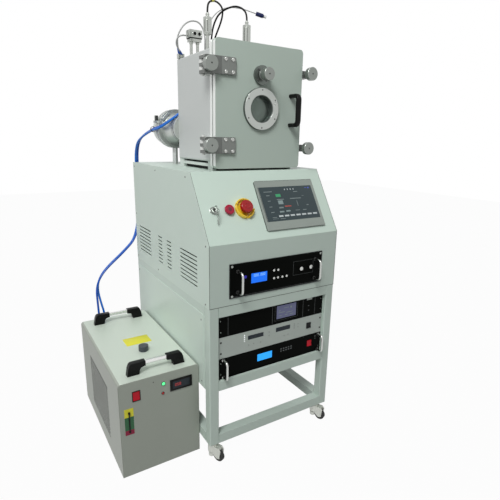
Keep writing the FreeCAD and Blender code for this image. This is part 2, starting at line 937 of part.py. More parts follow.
def make_shutter():
    head = rod(
        (shutter_x, shutter_knob_front, shutter_z), (0, 1, 0), shutter_knob_depth, shutter_knob_radius
    )
    rims = [edge for edge in head.Edges if abs(edge.CenterOfMass.y - shutter_knob_front) < 0.01]
    head = head.makeChamfer(1.2, rims)
    head = head.cut(rod((shutter_x, shutter_knob_front - 1, shutter_z), (0, 1, 0), 3, dimple_radius))
    neck_start = shutter_knob_front + shutter_knob_depth
    neck_end = door_front - shutter_boss_depth - panel_gap
    neck = rod((shutter_x, neck_start, shutter_z), (0, 1, 0), neck_end - neck_start, shutter_neck)
    shaft = rod(
        (shutter_x, neck_end, shutter_z),
        (0, 1, 0),
        shutter_plate_front + shutter_plate - neck_end,
        shutter_shaft,
    )
    arm_low = (shutter_x - 7, shutter_plate_front, view_z)
    arm_high = (shutter_x + 7, shutter_plate_front + shutter_plate, shutter_z + 7)
    plate = rod((view_x, shutter_plate_front, view_z), (0, 1, 0), shutter_plate, shutter_disc)
    return join([head, neck, shaft, box(arm_low, arm_high), plate])


parts["shutter"] = [make_shutter()]

grip_x = 446.0
grip_low = 1315.0
grip_high = 1434.0
grip_width = 20.0
grip_depth = 14.0
grip_front = 98.0
grip_height = 20.0
grip_outer = 12.0
grip_inner = 6.0


def make_grip():
    low = grip_low - grip_height / 2
    high = grip_high + grip_height / 2
    x_low = grip_x - grip_width / 2
    x_high = grip_x + grip_width / 2
    outer = box((x_low, grip_front, low), (x_high, door_front, high))
    outer = rounded(outer, axis_x, grip_outer, lambda point: point.y < grip_front + 1)
    inner_low = (x_low - 1, grip_front + grip_depth, low + grip_height)
    inner_high = (x_high + 1, door_front + 20, high - grip_height)
    inner = rounded(box(inner_low, inner_high), axis_x, grip_inner, lambda point: point.y < door_front)
    return outer.cut(inner)


parts["door_handle"] = [make_grip()]

# Shelf rack inside the chamber.
rack_x = (200.0, 408.0)
rack_y = (235.0, 435.0)
rack_foot = 12.0
rod_radius = 4.0
shelf_heights = (1290.0, 1420.0)
shelf_over = 32.0
shelf_thick = 3.0
rod_top = 1450.0


def make_rack():
    floor = cavity_low[2]
    pieces = []
    feet = []
    for x in rack_x:
        for y in rack_y:
            pieces.append(rod((x, y, floor + rack_foot), (0, 0, 1), rod_top - floor - rack_foot, rod_radius))
            feet.append(rod((x, y, floor), (0, 0, 1), rack_foot, 2 * rod_radius))
    for z in shelf_heights:
        low = (rack_x[0] - shelf_over, rack_y[0] - shelf_over + 12, z)
        high = (rack_x[1] + shelf_over, rack_y[1] + shelf_over - 12, z + shelf_thick)
        pieces.append(box(low, high))
    return [join(pieces)] + feet


parts["shelf_rack"] = make_rack()

# Vacuum pump behind the chamber.
pump_x = 147.0
neck_ring = 57.0
neck_disc = 14.0
neck_groove = 4.0
groove_depth = 5.0
cone_start = 50.0
cone_end = 68.0
bore_depth = 100.0
stack_start = 625.0
stack_disc = 12.0
stack_groove = 2.0
stack_radius = 86.0
pump_radius = 70.0
pump_end = 770.0
tail_length = 22.0
tail_slope = 8.0
tail_radius = 48.0
foot_half = 5.0
foot_depth = 40.0
side_over = 18.0
side_drop = 58.0
side_face = 585.0
side_flange = 10.0
side_flange_radius = 22.0
side_radius = 15.0
clip_inner = 71.0
clip_outer = 81.0
clip_thick = 8.0
pump_knob_back = 20.0
pump_knob_rise = 34.0
pump_knob_height = 22.0
pump_knob_radius = 9.0
pump_arm_half = 10.0


def make_pump():
    second_ring = neck_disc + neck_groove
    neck_end = second_ring + neck_disc + stack_groove
    points = [
        (0, 0),
        (neck_ring, 0),
        (neck_ring, neck_disc),
        (neck_ring - groove_depth, neck_disc),
        (neck_ring - groove_depth, second_ring),
        (neck_ring, second_ring),
        (neck_ring, neck_end),
        (cone_start, neck_end),
        (cone_end, stack_start - body_back),
    ]
    height = stack_start - body_back
    for index in range(3):
        points.append((stack_radius, height))
        points.append((stack_radius, height + stack_disc))
        height += stack_disc
        if index < 2:
            points.append((stack_radius - groove_depth, height))
            points.append((stack_radius - groove_depth, height + stack_groove))
            height += stack_groove
    points += [
        (pump_radius, height),
        (pump_radius, pump_end - body_back - tail_length - tail_slope),
        (tail_radius, pump_end - body_back - tail_length),
        (tail_radius, pump_end - body_back),
        (0, pump_end - body_back),
    ]
    body = turned(points, (pump_x, body_back, port_z), (0, 1, 0))
    bore = rod((port_x, body_back - 1, port_z), (0, 1, 0), bore_depth + 1, port_radius)
    body = body.cut(bore)
    side_x = pump_x + side_over
    side_z = port_z - side_drop
    side = join(
        [
            rod((side_x, side_face, side_z), (0, 1, 0), side_flange, side_flange_radius),
            rod((side_x, side_face, side_z), (0, 1, 0), stack_start - side_face, side_radius),
        ]
    )
    foot = box(
        (pump_x - foot_half, stack_start, slope_top),
        (pump_x + foot_half, stack_start + foot_depth, port_z - stack_radius + stack_groove + 1),
    )
    clip_points = []
    for radius, angle in ((clip_inner, 116), (clip_outer, 119), (clip_outer, 150), (clip_inner, 151)):
        turn = math.radians(angle)
        clip_points.append((pump_x + radius * math.cos(turn), port_z + radius * math.sin(turn)))
    clip = profile_y(clip_points, stack_start - clip_thick, stack_start)
    body = body.cut(Part.makeCompound([foot]))
    knob_y = stack_start + pump_knob_back
    knob_z = port_z + pump_knob_rise
    reach = stack_radius + 1.0
    clamp_knob = rod((pump_x - reach, knob_y, knob_z), (0, 0, 1), pump_knob_height, pump_knob_radius)
    clamp_arm = box(
        (pump_x - reach - pump_arm_half, knob_y - pump_knob_radius, knob_z - pump_arm_half),
        (pump_x - reach + 1.5 * pump_arm_half, knob_y + pump_knob_radius, knob_z),
    )
    clamp_arm = clamp_arm.cut(
        rod((pump_x, stack_start, port_z), (0, 1, 0), pump_end - stack_start, stack_radius)
    )
    return [body, side.cut(body), foot, clip, clamp_knob, clamp_arm]


parts["vacuum_pump"] = make_pump()

# Gauges, glands and the air valve on the chamber's roof.
gland_places = ((260.0, 471.0), (243.0, 461.0), (205.0, 428.0), (213.0, 452.0))
gland_radius = 6.5
gland_height = 10.0
air_radius = 3.0
sleeve_radius = 4.4
sleeve_length = 24.0
gauge_places = ((150.0, 1640.0, 1696.0), (323.0, 1628.0, 1692.0))
gauge_y = 300.0
gauge_side = 17.0
gauge_stem = 7.0
gauge_corner = 6.0
gauge_plug = 8.0
gauge_plug_height = 16.0
gauge_base = 15.0
gauge_base_height = 8.0
valve_lift = 66.0
valve_low = (122.0, 402.0, body_top + valve_lift)
valve_size = (56.0, 36.0, 32.0)
valve_high = tuple(low + size for low, size in zip(valve_low, valve_size))
valve_leg = 6.0
valve_corner = 3.0
valve_leg_inset = 14.0
valve_band = 12.0
valve_band_inset = (4.0, 2.0)
valve_port_radius = 6.5
valve_port_depth = 13.0
valve_port_offsets = (22.0, 42.0)
sleeve_block_low = (110.0, body_back - 22.0, body_top)
sleeve_block_high = (136.0, body_back - 2.0, body_top + 20.0)

air_front_path = [
    (122, 428, 1652),
    (98, 428, 1652),
    (83, 437, 1640),
    (84, 451, 1621),
    (99, 465, 1607),
    (116, 482, 1597),
]
air_rear_path = [
    (213, 452, 1584),
    (213, 452, 1630),
    (212, 451, 1676),
    (190, 446, 1710),
    (158, 447, 1716),
    (127, 452, 1703),
    (104, 457, 1674),
    (93, 465, 1640),
    (108, 486, 1606),
]


def make_fittings():
    solids = []
    for x, low, high in gauge_places:
        stem = rod((x, gauge_y, body_top), (0, 0, 1), low - body_top, gauge_stem)
        case = rounded_box(
            (x - gauge_side, gauge_y - gauge_side, low),
            (x + gauge_side, gauge_y + gauge_side, high),
            axis_z,
            gauge_corner,
        )
        collar = rod((x, gauge_y, high), (0, 0, 1), gauge_plug_height, gauge_plug)
        solids.append(join([stem, case, collar]))
        base = ring(
            (x, gauge_y, body_top), (0, 0, 1), gauge_base_height, gauge_base, gauge_stem + running_gap
        )
        solids.append(base)
    block = rounded_box(valve_low, valve_high, axis_z, valve_corner)
    middle = (valve_low[1] + valve_high[1]) / 2
    ports = []
    height = (valve_low[2] + valve_high[2]) / 2
    for offset in valve_port_offsets:
        start = (valve_low[0] + offset, valve_low[1] - 1, height)
        ports.append(rod(start, (0, 1, 0), valve_port_depth + 1, valve_port_radius))
    solids.append(block.cut(Part.makeCompound(ports)))
    inset_x, inset_y = valve_band_inset
    band = box(
        (valve_low[0] + inset_x, valve_low[1] + inset_y, valve_low[2] - valve_band),
        (valve_high[0] - inset_x, valve_high[1] - inset_y, valve_low[2]),
    )
    solids.append(band)
    for x in (valve_low[0] + valve_leg_inset, valve_high[0] - valve_leg_inset):
        solids.append(rod((x, middle, body_top), (0, 0, 1), valve_lift - valve_band, valve_leg))
    for x, y in gland_places:
        solids.append(rod((x, y, body_top), (0, 0, 1), gland_height, gland_radius))
    pieces = [box(sleeve_block_low, sleeve_block_high)]
    for path in (air_front_path, air_rear_path):
        end = Vector(*path[-1])
        along = end.sub(Vector(*path[-2]))
        pieces.append(Part.makeCylinder(sleeve_radius, sleeve_length, end, along))
    solids.append(join(pieces))
    return solids


parts["top_fittings"] = make_fittings()

# Chiller beside the cabinet.
chiller_left = -322.0
chiller_right = -4.0
chiller_front = 90.6
chiller_back = 726.0
chiller_top = 396.0
chiller_corner = 12.0
grille = (258.0, 560.0, 65.0, 300.0)
grille_depth = 2.0
chiller_rocker = (-269.0, -244.0, 316.0, 352.0)
chiller_screen = (-120.0, -39.0, 316.0, 354.0)
level_window = (-304.0, -270.0, 180.0, 290.0)
lamp_places = ((-151.0, 353.0), (-154.0, 313.0))
lamp_radius = 5.0
filler = (-155.0, 305.0)
filler_radius = 20.0
filler_height = 22.0
filler_neck = 12.0
filler_neck_height = 10.0
filler_wall = 4.0
barb_places = (-230.0, -201.0)
barb_height = 300.0
barb_rise = 22.0
barb_length = 32.0


def make_chiller():
    body = box((chiller_left, chiller_front, 0), (chiller_right, chiller_back, chiller_top))
    body = rounded(body, axis_y, chiller_corner, lambda point: point.z > 1)
    holes = [window_box(chiller_rocker, chiller_front - 1, rocker_depth + rocker_lift + 3, curved_gap)]
    holes.append(window_box(chiller_screen, chiller_front - 1, window_depth + 1, 0))
    holes.append(window_box(level_window, chiller_front - 1, window_depth + 1, 0))
    for x, z in lamp_places:
        holes.append(rod((x, chiller_front - 1, z), (0, 1, 0), 5, lamp_radius))
    holes.append(
        box((chiller_left - 1, grille[0], grille[2]), (chiller_left + grille_depth, grille[1], grille[3]))
    )
    body = body.cut(Part.makeCompound(holes))
    neck = ring(
        (*filler, chiller_top), (0, 0, 1), filler_neck_height, filler_neck, filler_neck - filler_wall
    )
    body = join([body, neck])
    solids = [body]
    for x in barb_places:
        stub = rod((x, chiller_back, barb_height), (0, 1, 0), barb_length + barb_radius, barb_radius)
        rise = rod((x, chiller_back + barb_length, barb_height), (0, 0, 1), barb_rise, barb_radius)
        solids.append(join([stub, rise]))
    return solids


parts["chiller_case"] = make_chiller()
parts["chiller_rocker"] = [make_rocker(chiller_rocker, chiller_front)]


def make_cap():
    start = (*filler, chiller_top + 1)
    cap = rod(start, (0, 0, 1), filler_height, filler_radius)
    inner = rod((*filler, chiller_top), (0, 0, 1), filler_neck_height + 2, filler_neck + curved_gap)
    return cap.cut(inner)


parts["filler_cap"] = [make_cap()]

handle_left = -275.0
handle_right = -47.0
handle_rows = (140.0, 663.0)
handle_height = 41.0
handle_half = 11.0
grip_left = -200.0
grip_right = -107.0
grip_thick = 13.0


def make_chiller_handles():
    solids = []
    top = chiller_top + handle_height
    for y in handle_rows:
        for foot, inner, sign in ((handle_left, grip_left, 1), (handle_right, grip_right, -1)):
            points = [
                (foot, chiller_top),
                (foot + sign * 8, top - 6),
                (foot + sign * 16, top),
                (inner + sign * 4, top),
                (inner + sign * 4, top - 18),
                (foot + sign * 50, top - 22),
                (foot + sign * 42, chiller_top),
            ]
            solids.append(profile_y(points, y - handle_half, y + handle_half))
        bar = box((grip_left + 4, y - 8, top - grip_thick - 2), (grip_right - 4, y + 8, top - 2))
        solids.append(rounded(bar, axis_x, 5.0))
    return solids


parts["chiller_handles"] = make_chiller_handles()

# Display windows, lamps and the level gauge.
lens = 0.8


def make_windows():
    solids = []
    for area, face in (
        (display_area, control_front),
        (meter_display, unit_front),
        (flow_display, unit_front),
        (match_windows[0], unit_front),
        (match_windows[1], unit_front),
        (chiller_screen, chiller_front),
        (level_window, chiller_front),
    ):
        solids.append(window_box(area, face + window_depth - lens, lens, 0))
    glass_floor = bezel_height - window_depth
    glass = box((glass_left, glass_low, glass_floor), (glass_right, glass_high, glass_floor + lens))
    solids.append(on_slope(glass))
    for x, z in lamp_places:
        solids.append(rod((x, chiller_front - 3, z), (0, 1, 0), 7, lamp_radius))
    return solids


parts["display_windows"] = make_windows()

# Four swivel casters with levelling pads.
caster_left = 22.0
caster_right = cabinet_width - 48.0
caster_front = 22.0
caster_rear = cabinet_depth - 22.0
caster_places = {
    "front_left": (caster_left, caster_front),
    "front_right": (caster_right, caster_front),
    "rear_left": (caster_left, caster_rear),
    "rear_right": (caster_right, caster_rear),
}
caster_turn = 23.4
caster_trail = 32.7
wheel_radius = 23.0
wheel_width = 17.0
wheel_gap = 1.0
cheek = 4.0
axle_radius = 4.0
plate_thick = 3.0
plate_half = 20.0
swivel_gap = 0.5
king_radius = 5.0
screw_radius = 4.0
hub_radius = 19.0
hub_bottom = 34.0
pad_radius = 13.0
pad_shift = 4.0
pad_low = 11.0
pad_high = 26.0


def make_caster():
    top = frame_bottom
    plate = rod((0, 0, top - plate_thick), (0, 0, 1), plate_thick, plate_half)
    king = rod((0, 0, hub_bottom + 8), (0, 0, 1), top - hub_bottom - 8, king_radius)
    half = wheel_width / 2 + wheel_gap
    hub_top = top - plate_thick - swivel_gap
    hub = rod((0, 0, hub_bottom), (0, 0, 1), hub_top - hub_bottom, hub_radius)
    roof = box((-half - cheek, -caster_trail - 6, wheel_radius * 2 + 3), (half + cheek, 0, hub_top - 6))
    cheeks = []
    for side in (-1, 1):
        x_low = half if side > 0 else -half - cheek
        points = [
            (-4, hub_bottom),
            (-4, hub_top - 6),
            (-caster_trail - 6, hub_top - 6),
            (-caster_trail - 15, hub_top - 16),
            (-caster_trail - 11, wheel_radius - 6),
            (-caster_trail + 4, wheel_radius - 9),
        ]
        cheeks.append(profile_x(points, x_low, x_low + cheek))
    wheel_room = rod((-half, -caster_trail, wheel_radius), (1, 0, 0), 2 * half, wheel_radius + 2)
    fork = join([hub, roof] + cheeks).cut(wheel_room)
    fork = fork.cut(rod((0, 0, hub_bottom - 1), (0, 0, 1), hub_top, king_radius + running_gap))
    axle = rod((-half - cheek, -caster_trail, wheel_radius), (1, 0, 0), 2 * (half + cheek), axle_radius)
    fork = fork.cut(axle)
    pad = rod((0, pad_shift, pad_low), (0, 0, 1), pad_high - pad_low, pad_radius)
    screw = rod((0, pad_shift, pad_high), (0, 0, 1), hub_bottom - pad_high, screw_radius)
    wheel = ring(
        (-wheel_width / 2, -caster_trail, wheel_radius),
        (1, 0, 0),
        wheel_width,
        wheel_radius,
        axle_radius + running_gap,
    )
    outer = [edge for edge in wheel.Edges if abs(edge.BoundBox.ZMax - 2 * wheel_radius) < 0.1]
    wheel = wheel.makeFillet(3.0, [edge for edge in outer if len(edge.Vertexes) == 1])
    return [plate.fuse(king).removeSplitter()], [fork, axle, pad, screw], [wheel]


def placed(shapes, x, y):
    moved = []
    for shape in shapes:
        copy = shape.copy()
        copy.Placement = Placement(Vector(x, y, 0), Rotation(axis_z, caster_turn)).multiply(copy.Placement)
        moved.append(copy)
    return moved


plate_solids, fork_solids, wheel_solids = make_caster()
for place, (x, y) in caster_places.items():
    parts["frame"] += placed(plate_solids, x, y)
    parts[f"caster_{place}"] = placed(fork_solids, x, y)
    parts[f"wheel_{place}"] = placed(wheel_solids, x, y)

# Cords: two water hoses, two gauge cables, a sensor cable with its plug and two air tubes.
hose_radius = 5.0
cable_radius = 3.5
sensor_radius = 2.0
gauge_left_path = [
    (150, 300, 1712),
    (150, 300, 1738),
    (168, 313, 1757),
    (197, 331, 1767),
    (230, 352, 1765),
    (258, 380, 1757),
    (270, 405, 1738),
    (270, 425, 1712),
    (267, 445, 1688),
    (263, 462, 1662),
    (260, 471, 1622),
    (260, 471, 1584),
]
gauge_right_path = [
    (323, 300, 1708),
    (323, 300, 1733),
    (311, 313, 1754),
    (289, 332, 1763),
    (268, 348, 1757),
    (253, 362, 1749),
    (240, 385, 1735),
    (237, 412, 1712),
    (240, 436, 1690),
    (244, 452, 1664),
    (243, 461, 1622),
    (243, 461, 1584),
]
sensor_path = [
    (205, 428, 1584),
    (205, 428, 1625),
    (210, 430, 1672),
    (222, 430, 1711),
    (240, 424, 1741),
    (263, 412, 1762),
    (294, 392, 1774),
    (339, 360, 1767),
    (360, 342, 1757),
    (383, 328, 1749),
]
plug_length = 30.0
plug_body = 8.0
tip_length = 14.0
tip_radius = 5.5


def make_plug():
    end = Vector(*sensor_path[-1])
    along = end.sub(Vector(*sensor_path[-2])).normalize()
    tip = end.add(Vector(along).multiply(plug_length))
    return [
        Part.makeCylinder(plug_body, plug_length, end, along),
        Part.makeCylinder(tip_radius, tip_length, tip, along),
    ]


cord_routes = {
    "cooling_hose_supply": (supply_path, hose_radius),
    "cooling_hose_return": (return_path, hose_radius),
    "gauge_cable_left": (gauge_left_path, cable_radius),
    "gauge_cable_right": (gauge_right_path, cable_radius),
    "sensor_cable": (sensor_path, sensor_radius),
    "air_tube_front": (air_front_path, air_radius),
    "air_tube_rear": (air_rear_path, air_radius),
}
for name, (route, radius) in cord_routes.items():
    parts[name] = [pipe([Vector(*point) for point in route], radius, label=name)]
parts["sensor_plug"] = make_plug()

# The origin is the middle of the footprint on the floor.
footprint_right = cabinet_width + lower_plate
footprint_front = control_front - bow_reach - bow_radius
footprint_back = cabinet_depth + lower_plate
origin = Vector((chiller_left + footprint_right) / 2, (footprint_front + footprint_back) / 2, 0)

os.makedirs("parts", exist_ok=True)
for name, solids in parts.items():
    shape = Part.makeCompound(solids)
    shape.translate(Vector(-origin.x, -origin.y, -origin.z))
    shape.exportStep(f"parts/{name}.step")
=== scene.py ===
import math
import bmesh
import bpy
from mathutils import Matrix, Vector


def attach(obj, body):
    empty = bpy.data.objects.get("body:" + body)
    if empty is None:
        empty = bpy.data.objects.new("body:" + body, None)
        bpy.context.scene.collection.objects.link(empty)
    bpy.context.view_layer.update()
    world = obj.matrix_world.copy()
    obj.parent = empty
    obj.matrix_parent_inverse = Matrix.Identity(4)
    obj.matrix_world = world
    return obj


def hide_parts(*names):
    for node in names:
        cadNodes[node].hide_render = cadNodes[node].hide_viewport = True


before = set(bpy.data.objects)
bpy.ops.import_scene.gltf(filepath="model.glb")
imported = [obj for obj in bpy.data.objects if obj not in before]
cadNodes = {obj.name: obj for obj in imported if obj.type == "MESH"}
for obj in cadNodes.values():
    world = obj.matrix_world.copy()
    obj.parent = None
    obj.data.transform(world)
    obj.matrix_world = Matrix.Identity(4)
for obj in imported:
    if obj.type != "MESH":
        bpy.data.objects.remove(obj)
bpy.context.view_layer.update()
scene = bpy.context.scene
print("frame loaded:", len(cadNodes), "nodes")

# Two working spaces in millimetres: the cabinet's own, and one that lies on its sloping control face.
cabinet = {
    # from the cabinet's front left corner to the middle of the footprint
    "originX": 139.75, "originY": 392.0,
    "width": 600.0, "depth": 830.0,
    "slopeBottom": 891.0, "slopeTop": 1137.0, "slopeRun": 154.0,
}
slopeAngle = math.atan2(cabinet["slopeTop"] - cabinet["slopeBottom"], cabinet["slopeRun"])
cabinetSpace = Matrix.Scale(0.001, 4) @ Matrix.Translation((-cabinet["originX"], -cabinet["originY"], 0))
slopeTurn = Matrix.Rotation(slopeAngle, 4, "X")
slopeSpace = cabinetSpace @ Matrix.Translation((0, 0, cabinet["slopeBottom"])) @ slopeTurn


def inFrame(x, y, z):
    return cabinetSpace @ Vector((x, y, z))


# Camera
cameraView = {
    "place": (-645.37, -1303.88, 1255.75),    # mm, in the cabinet's space
    "yaw": -32.22, "pitch": -14.87, "roll": 1.09,
    "focal": 428.07, "middle": (251.47, 253.06), "frame": 500.0,
}


def makeCamera(view):
    yaw, pitch, roll = (math.radians(view[k]) for k in ("yaw", "pitch", "roll"))
    ahead = Vector((-math.sin(yaw) * math.cos(pitch), math.cos(yaw) * math.cos(pitch), math.sin(pitch)))
    right = Vector((math.cos(yaw), math.sin(yaw), 0))
    up = right.cross(ahead)
    right, up = right * math.cos(roll) + up * math.sin(roll), up * math.cos(roll) - right * math.sin(roll)
    data = bpy.data.cameras.new("camera")
    data.sensor_width = 36.0
    data.lens = 36.0 * view["focal"] / view["frame"]
    data.shift_x = -(view["middle"][0] - view["frame"] / 2) / view["frame"]
    data.shift_y = (view["middle"][1] - view["frame"] / 2) / view["frame"]
    data.clip_end = 50.0
    camera = bpy.data.objects.new("camera", data)
    turn = Matrix((right, up, -ahead)).transposed().to_4x4()
    camera.matrix_world = Matrix.Translation(inFrame(*view["place"])) @ turn
    scene.collection.objects.link(camera)
    scene.camera = camera


makeCamera(cameraView)
print("camera placed")


# Shared effects, each a node group
def newGroup(name, inputs, outputs):
    group = bpy.data.node_groups.new(name, "ShaderNodeTree")
    for label, kind, value in inputs:
        socket = group.interface.new_socket(name=label, in_out="INPUT", socket_type=kind)
        socket.default_value = value
    for label, kind in outputs:
        group.interface.new_socket(name=label, in_out="OUTPUT", socket_type=kind)
    return group, group.nodes.new("NodeGroupInput"), group.nodes.new("NodeGroupOutput")


def mathNode(tree, operation, first, second=None, clamp=False):
    node = tree.nodes.new("ShaderNodeMath")
    node.operation = operation
    node.use_clamp = clamp
    for index, value in enumerate((first, second)):
        if value is None:
            continue
        if isinstance(value, (int, float)):
            node.inputs[index].default_value = value
        else:
            tree.links.new(value, node.inputs[index])
    return node.outputs[0]


def objectPoint(tree):
    return tree.nodes.new("ShaderNodeTexCoord").outputs["Object"]


def noiseNode(tree, vector, scale, detail=3.0, roughness=0.5):
    node = tree.nodes.new("ShaderNodeTexNoise")
    node.inputs["Detail"].default_value = detail
    node.inputs["Roughness"].default_value = roughness
    tree.links.new(vector, node.inputs["Vector"])
    if isinstance(scale, (int, float)):
        node.inputs["Scale"].default_value = scale
    else:
        tree.links.new(scale, node.inputs["Scale"])
    return node.outputs["Fac"]


def brighten(tree, color, factor):
    scale = tree.nodes.new("ShaderNodeVectorMath")
    scale.operation = "SCALE"
    tree.links.new(color, scale.inputs[0])
    tree.links.new(factor, scale.inputs["Scale"])
    return scale.outputs[0]


def makeRoundedEdge():
    group, given, result = newGroup(
        "roundedEdge",
        [("Radius", "NodeSocketFloat", 0.001)],
        [("Normal", "NodeSocketVector"), ("Edge", "NodeSocketFloat")],
    )
    bevel = group.nodes.new("ShaderNodeBevel")
    bevel.samples = 4
    group.links.new(given.outputs["Radius"], bevel.inputs["Radius"])
    flat = group.nodes.new("ShaderNodeNewGeometry")
    dot = group.nodes.new("ShaderNodeVectorMath")
    dot.operation = "DOT_PRODUCT"
    group.links.new(bevel.outputs[0], dot.inputs[0])
    group.links.new(flat.outputs["Normal"], dot.inputs[1])
    away = mathNode(group, "SUBTRACT", 1.0, dot.outputs["Value"])
    group.links.new(mathNode(group, "MULTIPLY", away, 5.0, clamp=True), result.inputs["Edge"])
    group.links.new(bevel.outputs[0], result.inputs["Normal"])
    return group


def makeSurfaceTone():
    group, given, result = newGroup(
        "surfaceTone",
        [
            ("Color", "NodeSocketColor", (0.8, 0.8, 0.8, 1)),
            ("Spread", "NodeSocketFloat", 0.06),
            ("Roughness", "NodeSocketFloat", 0.5),
            ("Grain Scale", "NodeSocketFloat", 700.0),
            ("Edge", "NodeSocketFloat", 0.0),
            ("Edge Lift", "NodeSocketFloat", 0.15),
        ],
        [("Color", "NodeSocketColor"), ("Roughness", "NodeSocketFloat"), ("Height", "NodeSocketFloat")],
    )
    point = objectPoint(group)
    cloud = mathNode(group, "SUBTRACT", noiseNode(group, point, 3.5, 4.0), 0.5)
    shade = mathNode(group, "ADD", 1.0, mathNode(group, "MULTIPLY", cloud, given.outputs["Spread"]))
    # Painted highlight: the colour is drawn lighter along rounded edges, by the edge mask times this
    # strength, standing in for light catching the edges
    lift = mathNode(group, "MULTIPLY", given.outputs["Edge"], given.outputs["Edge Lift"])
    shade = mathNode(group, "ADD", shade, lift)
    group.links.new(brighten(group, given.outputs["Color"], shade), result.inputs["Color"])
    smear = mathNode(group, "SUBTRACT", noiseNode(group, point, 14.0, 5.0), 0.5)
    rough = mathNode(group, "ADD", given.outputs["Roughness"], mathNode(group, "MULTIPLY", smear, 0.22))
    group.links.new(mathNode(group, "MAXIMUM", rough, 0.03), result.inputs["Roughness"])
    group.links.new(noiseNode(group, point, given.outputs["Grain Scale"], 2.0), result.inputs["Height"])
    return group


def makeBrushedLines():
    group, given, result = newGroup(
        "brushedLines",
        [("Stretch", "NodeSocketVector", (20, 900, 900)), ("Strength", "NodeSocketFloat", 0.25)],
        [("Tone", "NodeSocketFloat"), ("Height", "NodeSocketFloat")],
    )
    drawn = group.nodes.new("ShaderNodeVectorMath")
    drawn.operation = "MULTIPLY"
    group.links.new(objectPoint(group), drawn.inputs[0])
    group.links.new(given.outputs["Stretch"], drawn.inputs[1])
    lines = noiseNode(group, drawn.outputs[0], 1.0, 3.0, 0.6)
    swing = mathNode(group, "MULTIPLY", mathNode(group, "SUBTRACT", lines, 0.5), given.outputs["Strength"])
    group.links.new(mathNode(group, "ADD", 1.0, swing), result.inputs["Tone"])
    group.links.new(lines, result.inputs["Height"])
    return group


def makeZoneMask():
    group, given, result = newGroup(
        "zoneMask",
        [("Low", "NodeSocketVector", (0, 0, 0)), ("High", "NodeSocketVector", (1, 1, 1))],
        [("Mask", "NodeSocketFloat")],
    )
    point = group.nodes.new("ShaderNodeSeparateXYZ")
    low = group.nodes.new("ShaderNodeSeparateXYZ")
    high = group.nodes.new("ShaderNodeSeparateXYZ")
    group.links.new(objectPoint(group), point.inputs[0])
    group.links.new(given.outputs["Low"], low.inputs[0])
    group.links.new(given.outputs["High"], high.inputs[0])
    inside = None
    for index in range(3):
        above = mathNode(group, "GREATER_THAN", point.outputs[index], low.outputs[index])
        below = mathNode(group, "LESS_THAN", point.outputs[index], high.outputs[index])
        both = mathNode(group, "MULTIPLY", above, below)
        inside = both if inside is None else mathNode(group, "MULTIPLY", inside, both)
    group.links.new(inside, result.inputs["Mask"])
    return group


effects = {
    "roundedEdge": makeRoundedEdge(),
    "surfaceTone": makeSurfaceTone(),
    "brushedLines": makeBrushedLines(),
    "zoneMask": makeZoneMask(),
}


def useEffect(tree, name, **values):
    node = tree.nodes.new("ShaderNodeGroup")
    node.node_tree = effects[name]
    for label, value in values.items():
        node.inputs[label.replace("_", " ")].default_value = value
    return node


def mixInto(tree, kind, mask, plain, over):
    node = tree.nodes.new("ShaderNodeMix")
    node.data_type = kind
    spot = {"FLOAT": (2, 3, 0), "RGBA": (6, 7, 2)}[kind]
    tree.links.new(mask, node.inputs[0])
    for index, value in ((spot[0], plain), (spot[1], over)):
        if isinstance(value, bpy.types.NodeSocket):
            tree.links.new(value, node.inputs[index])
        elif kind == "RGBA":
            node.inputs[index].default_value = (*value, 1)
        else:
            node.inputs[index].default_value = value
    return node.outputs[spot[2]]


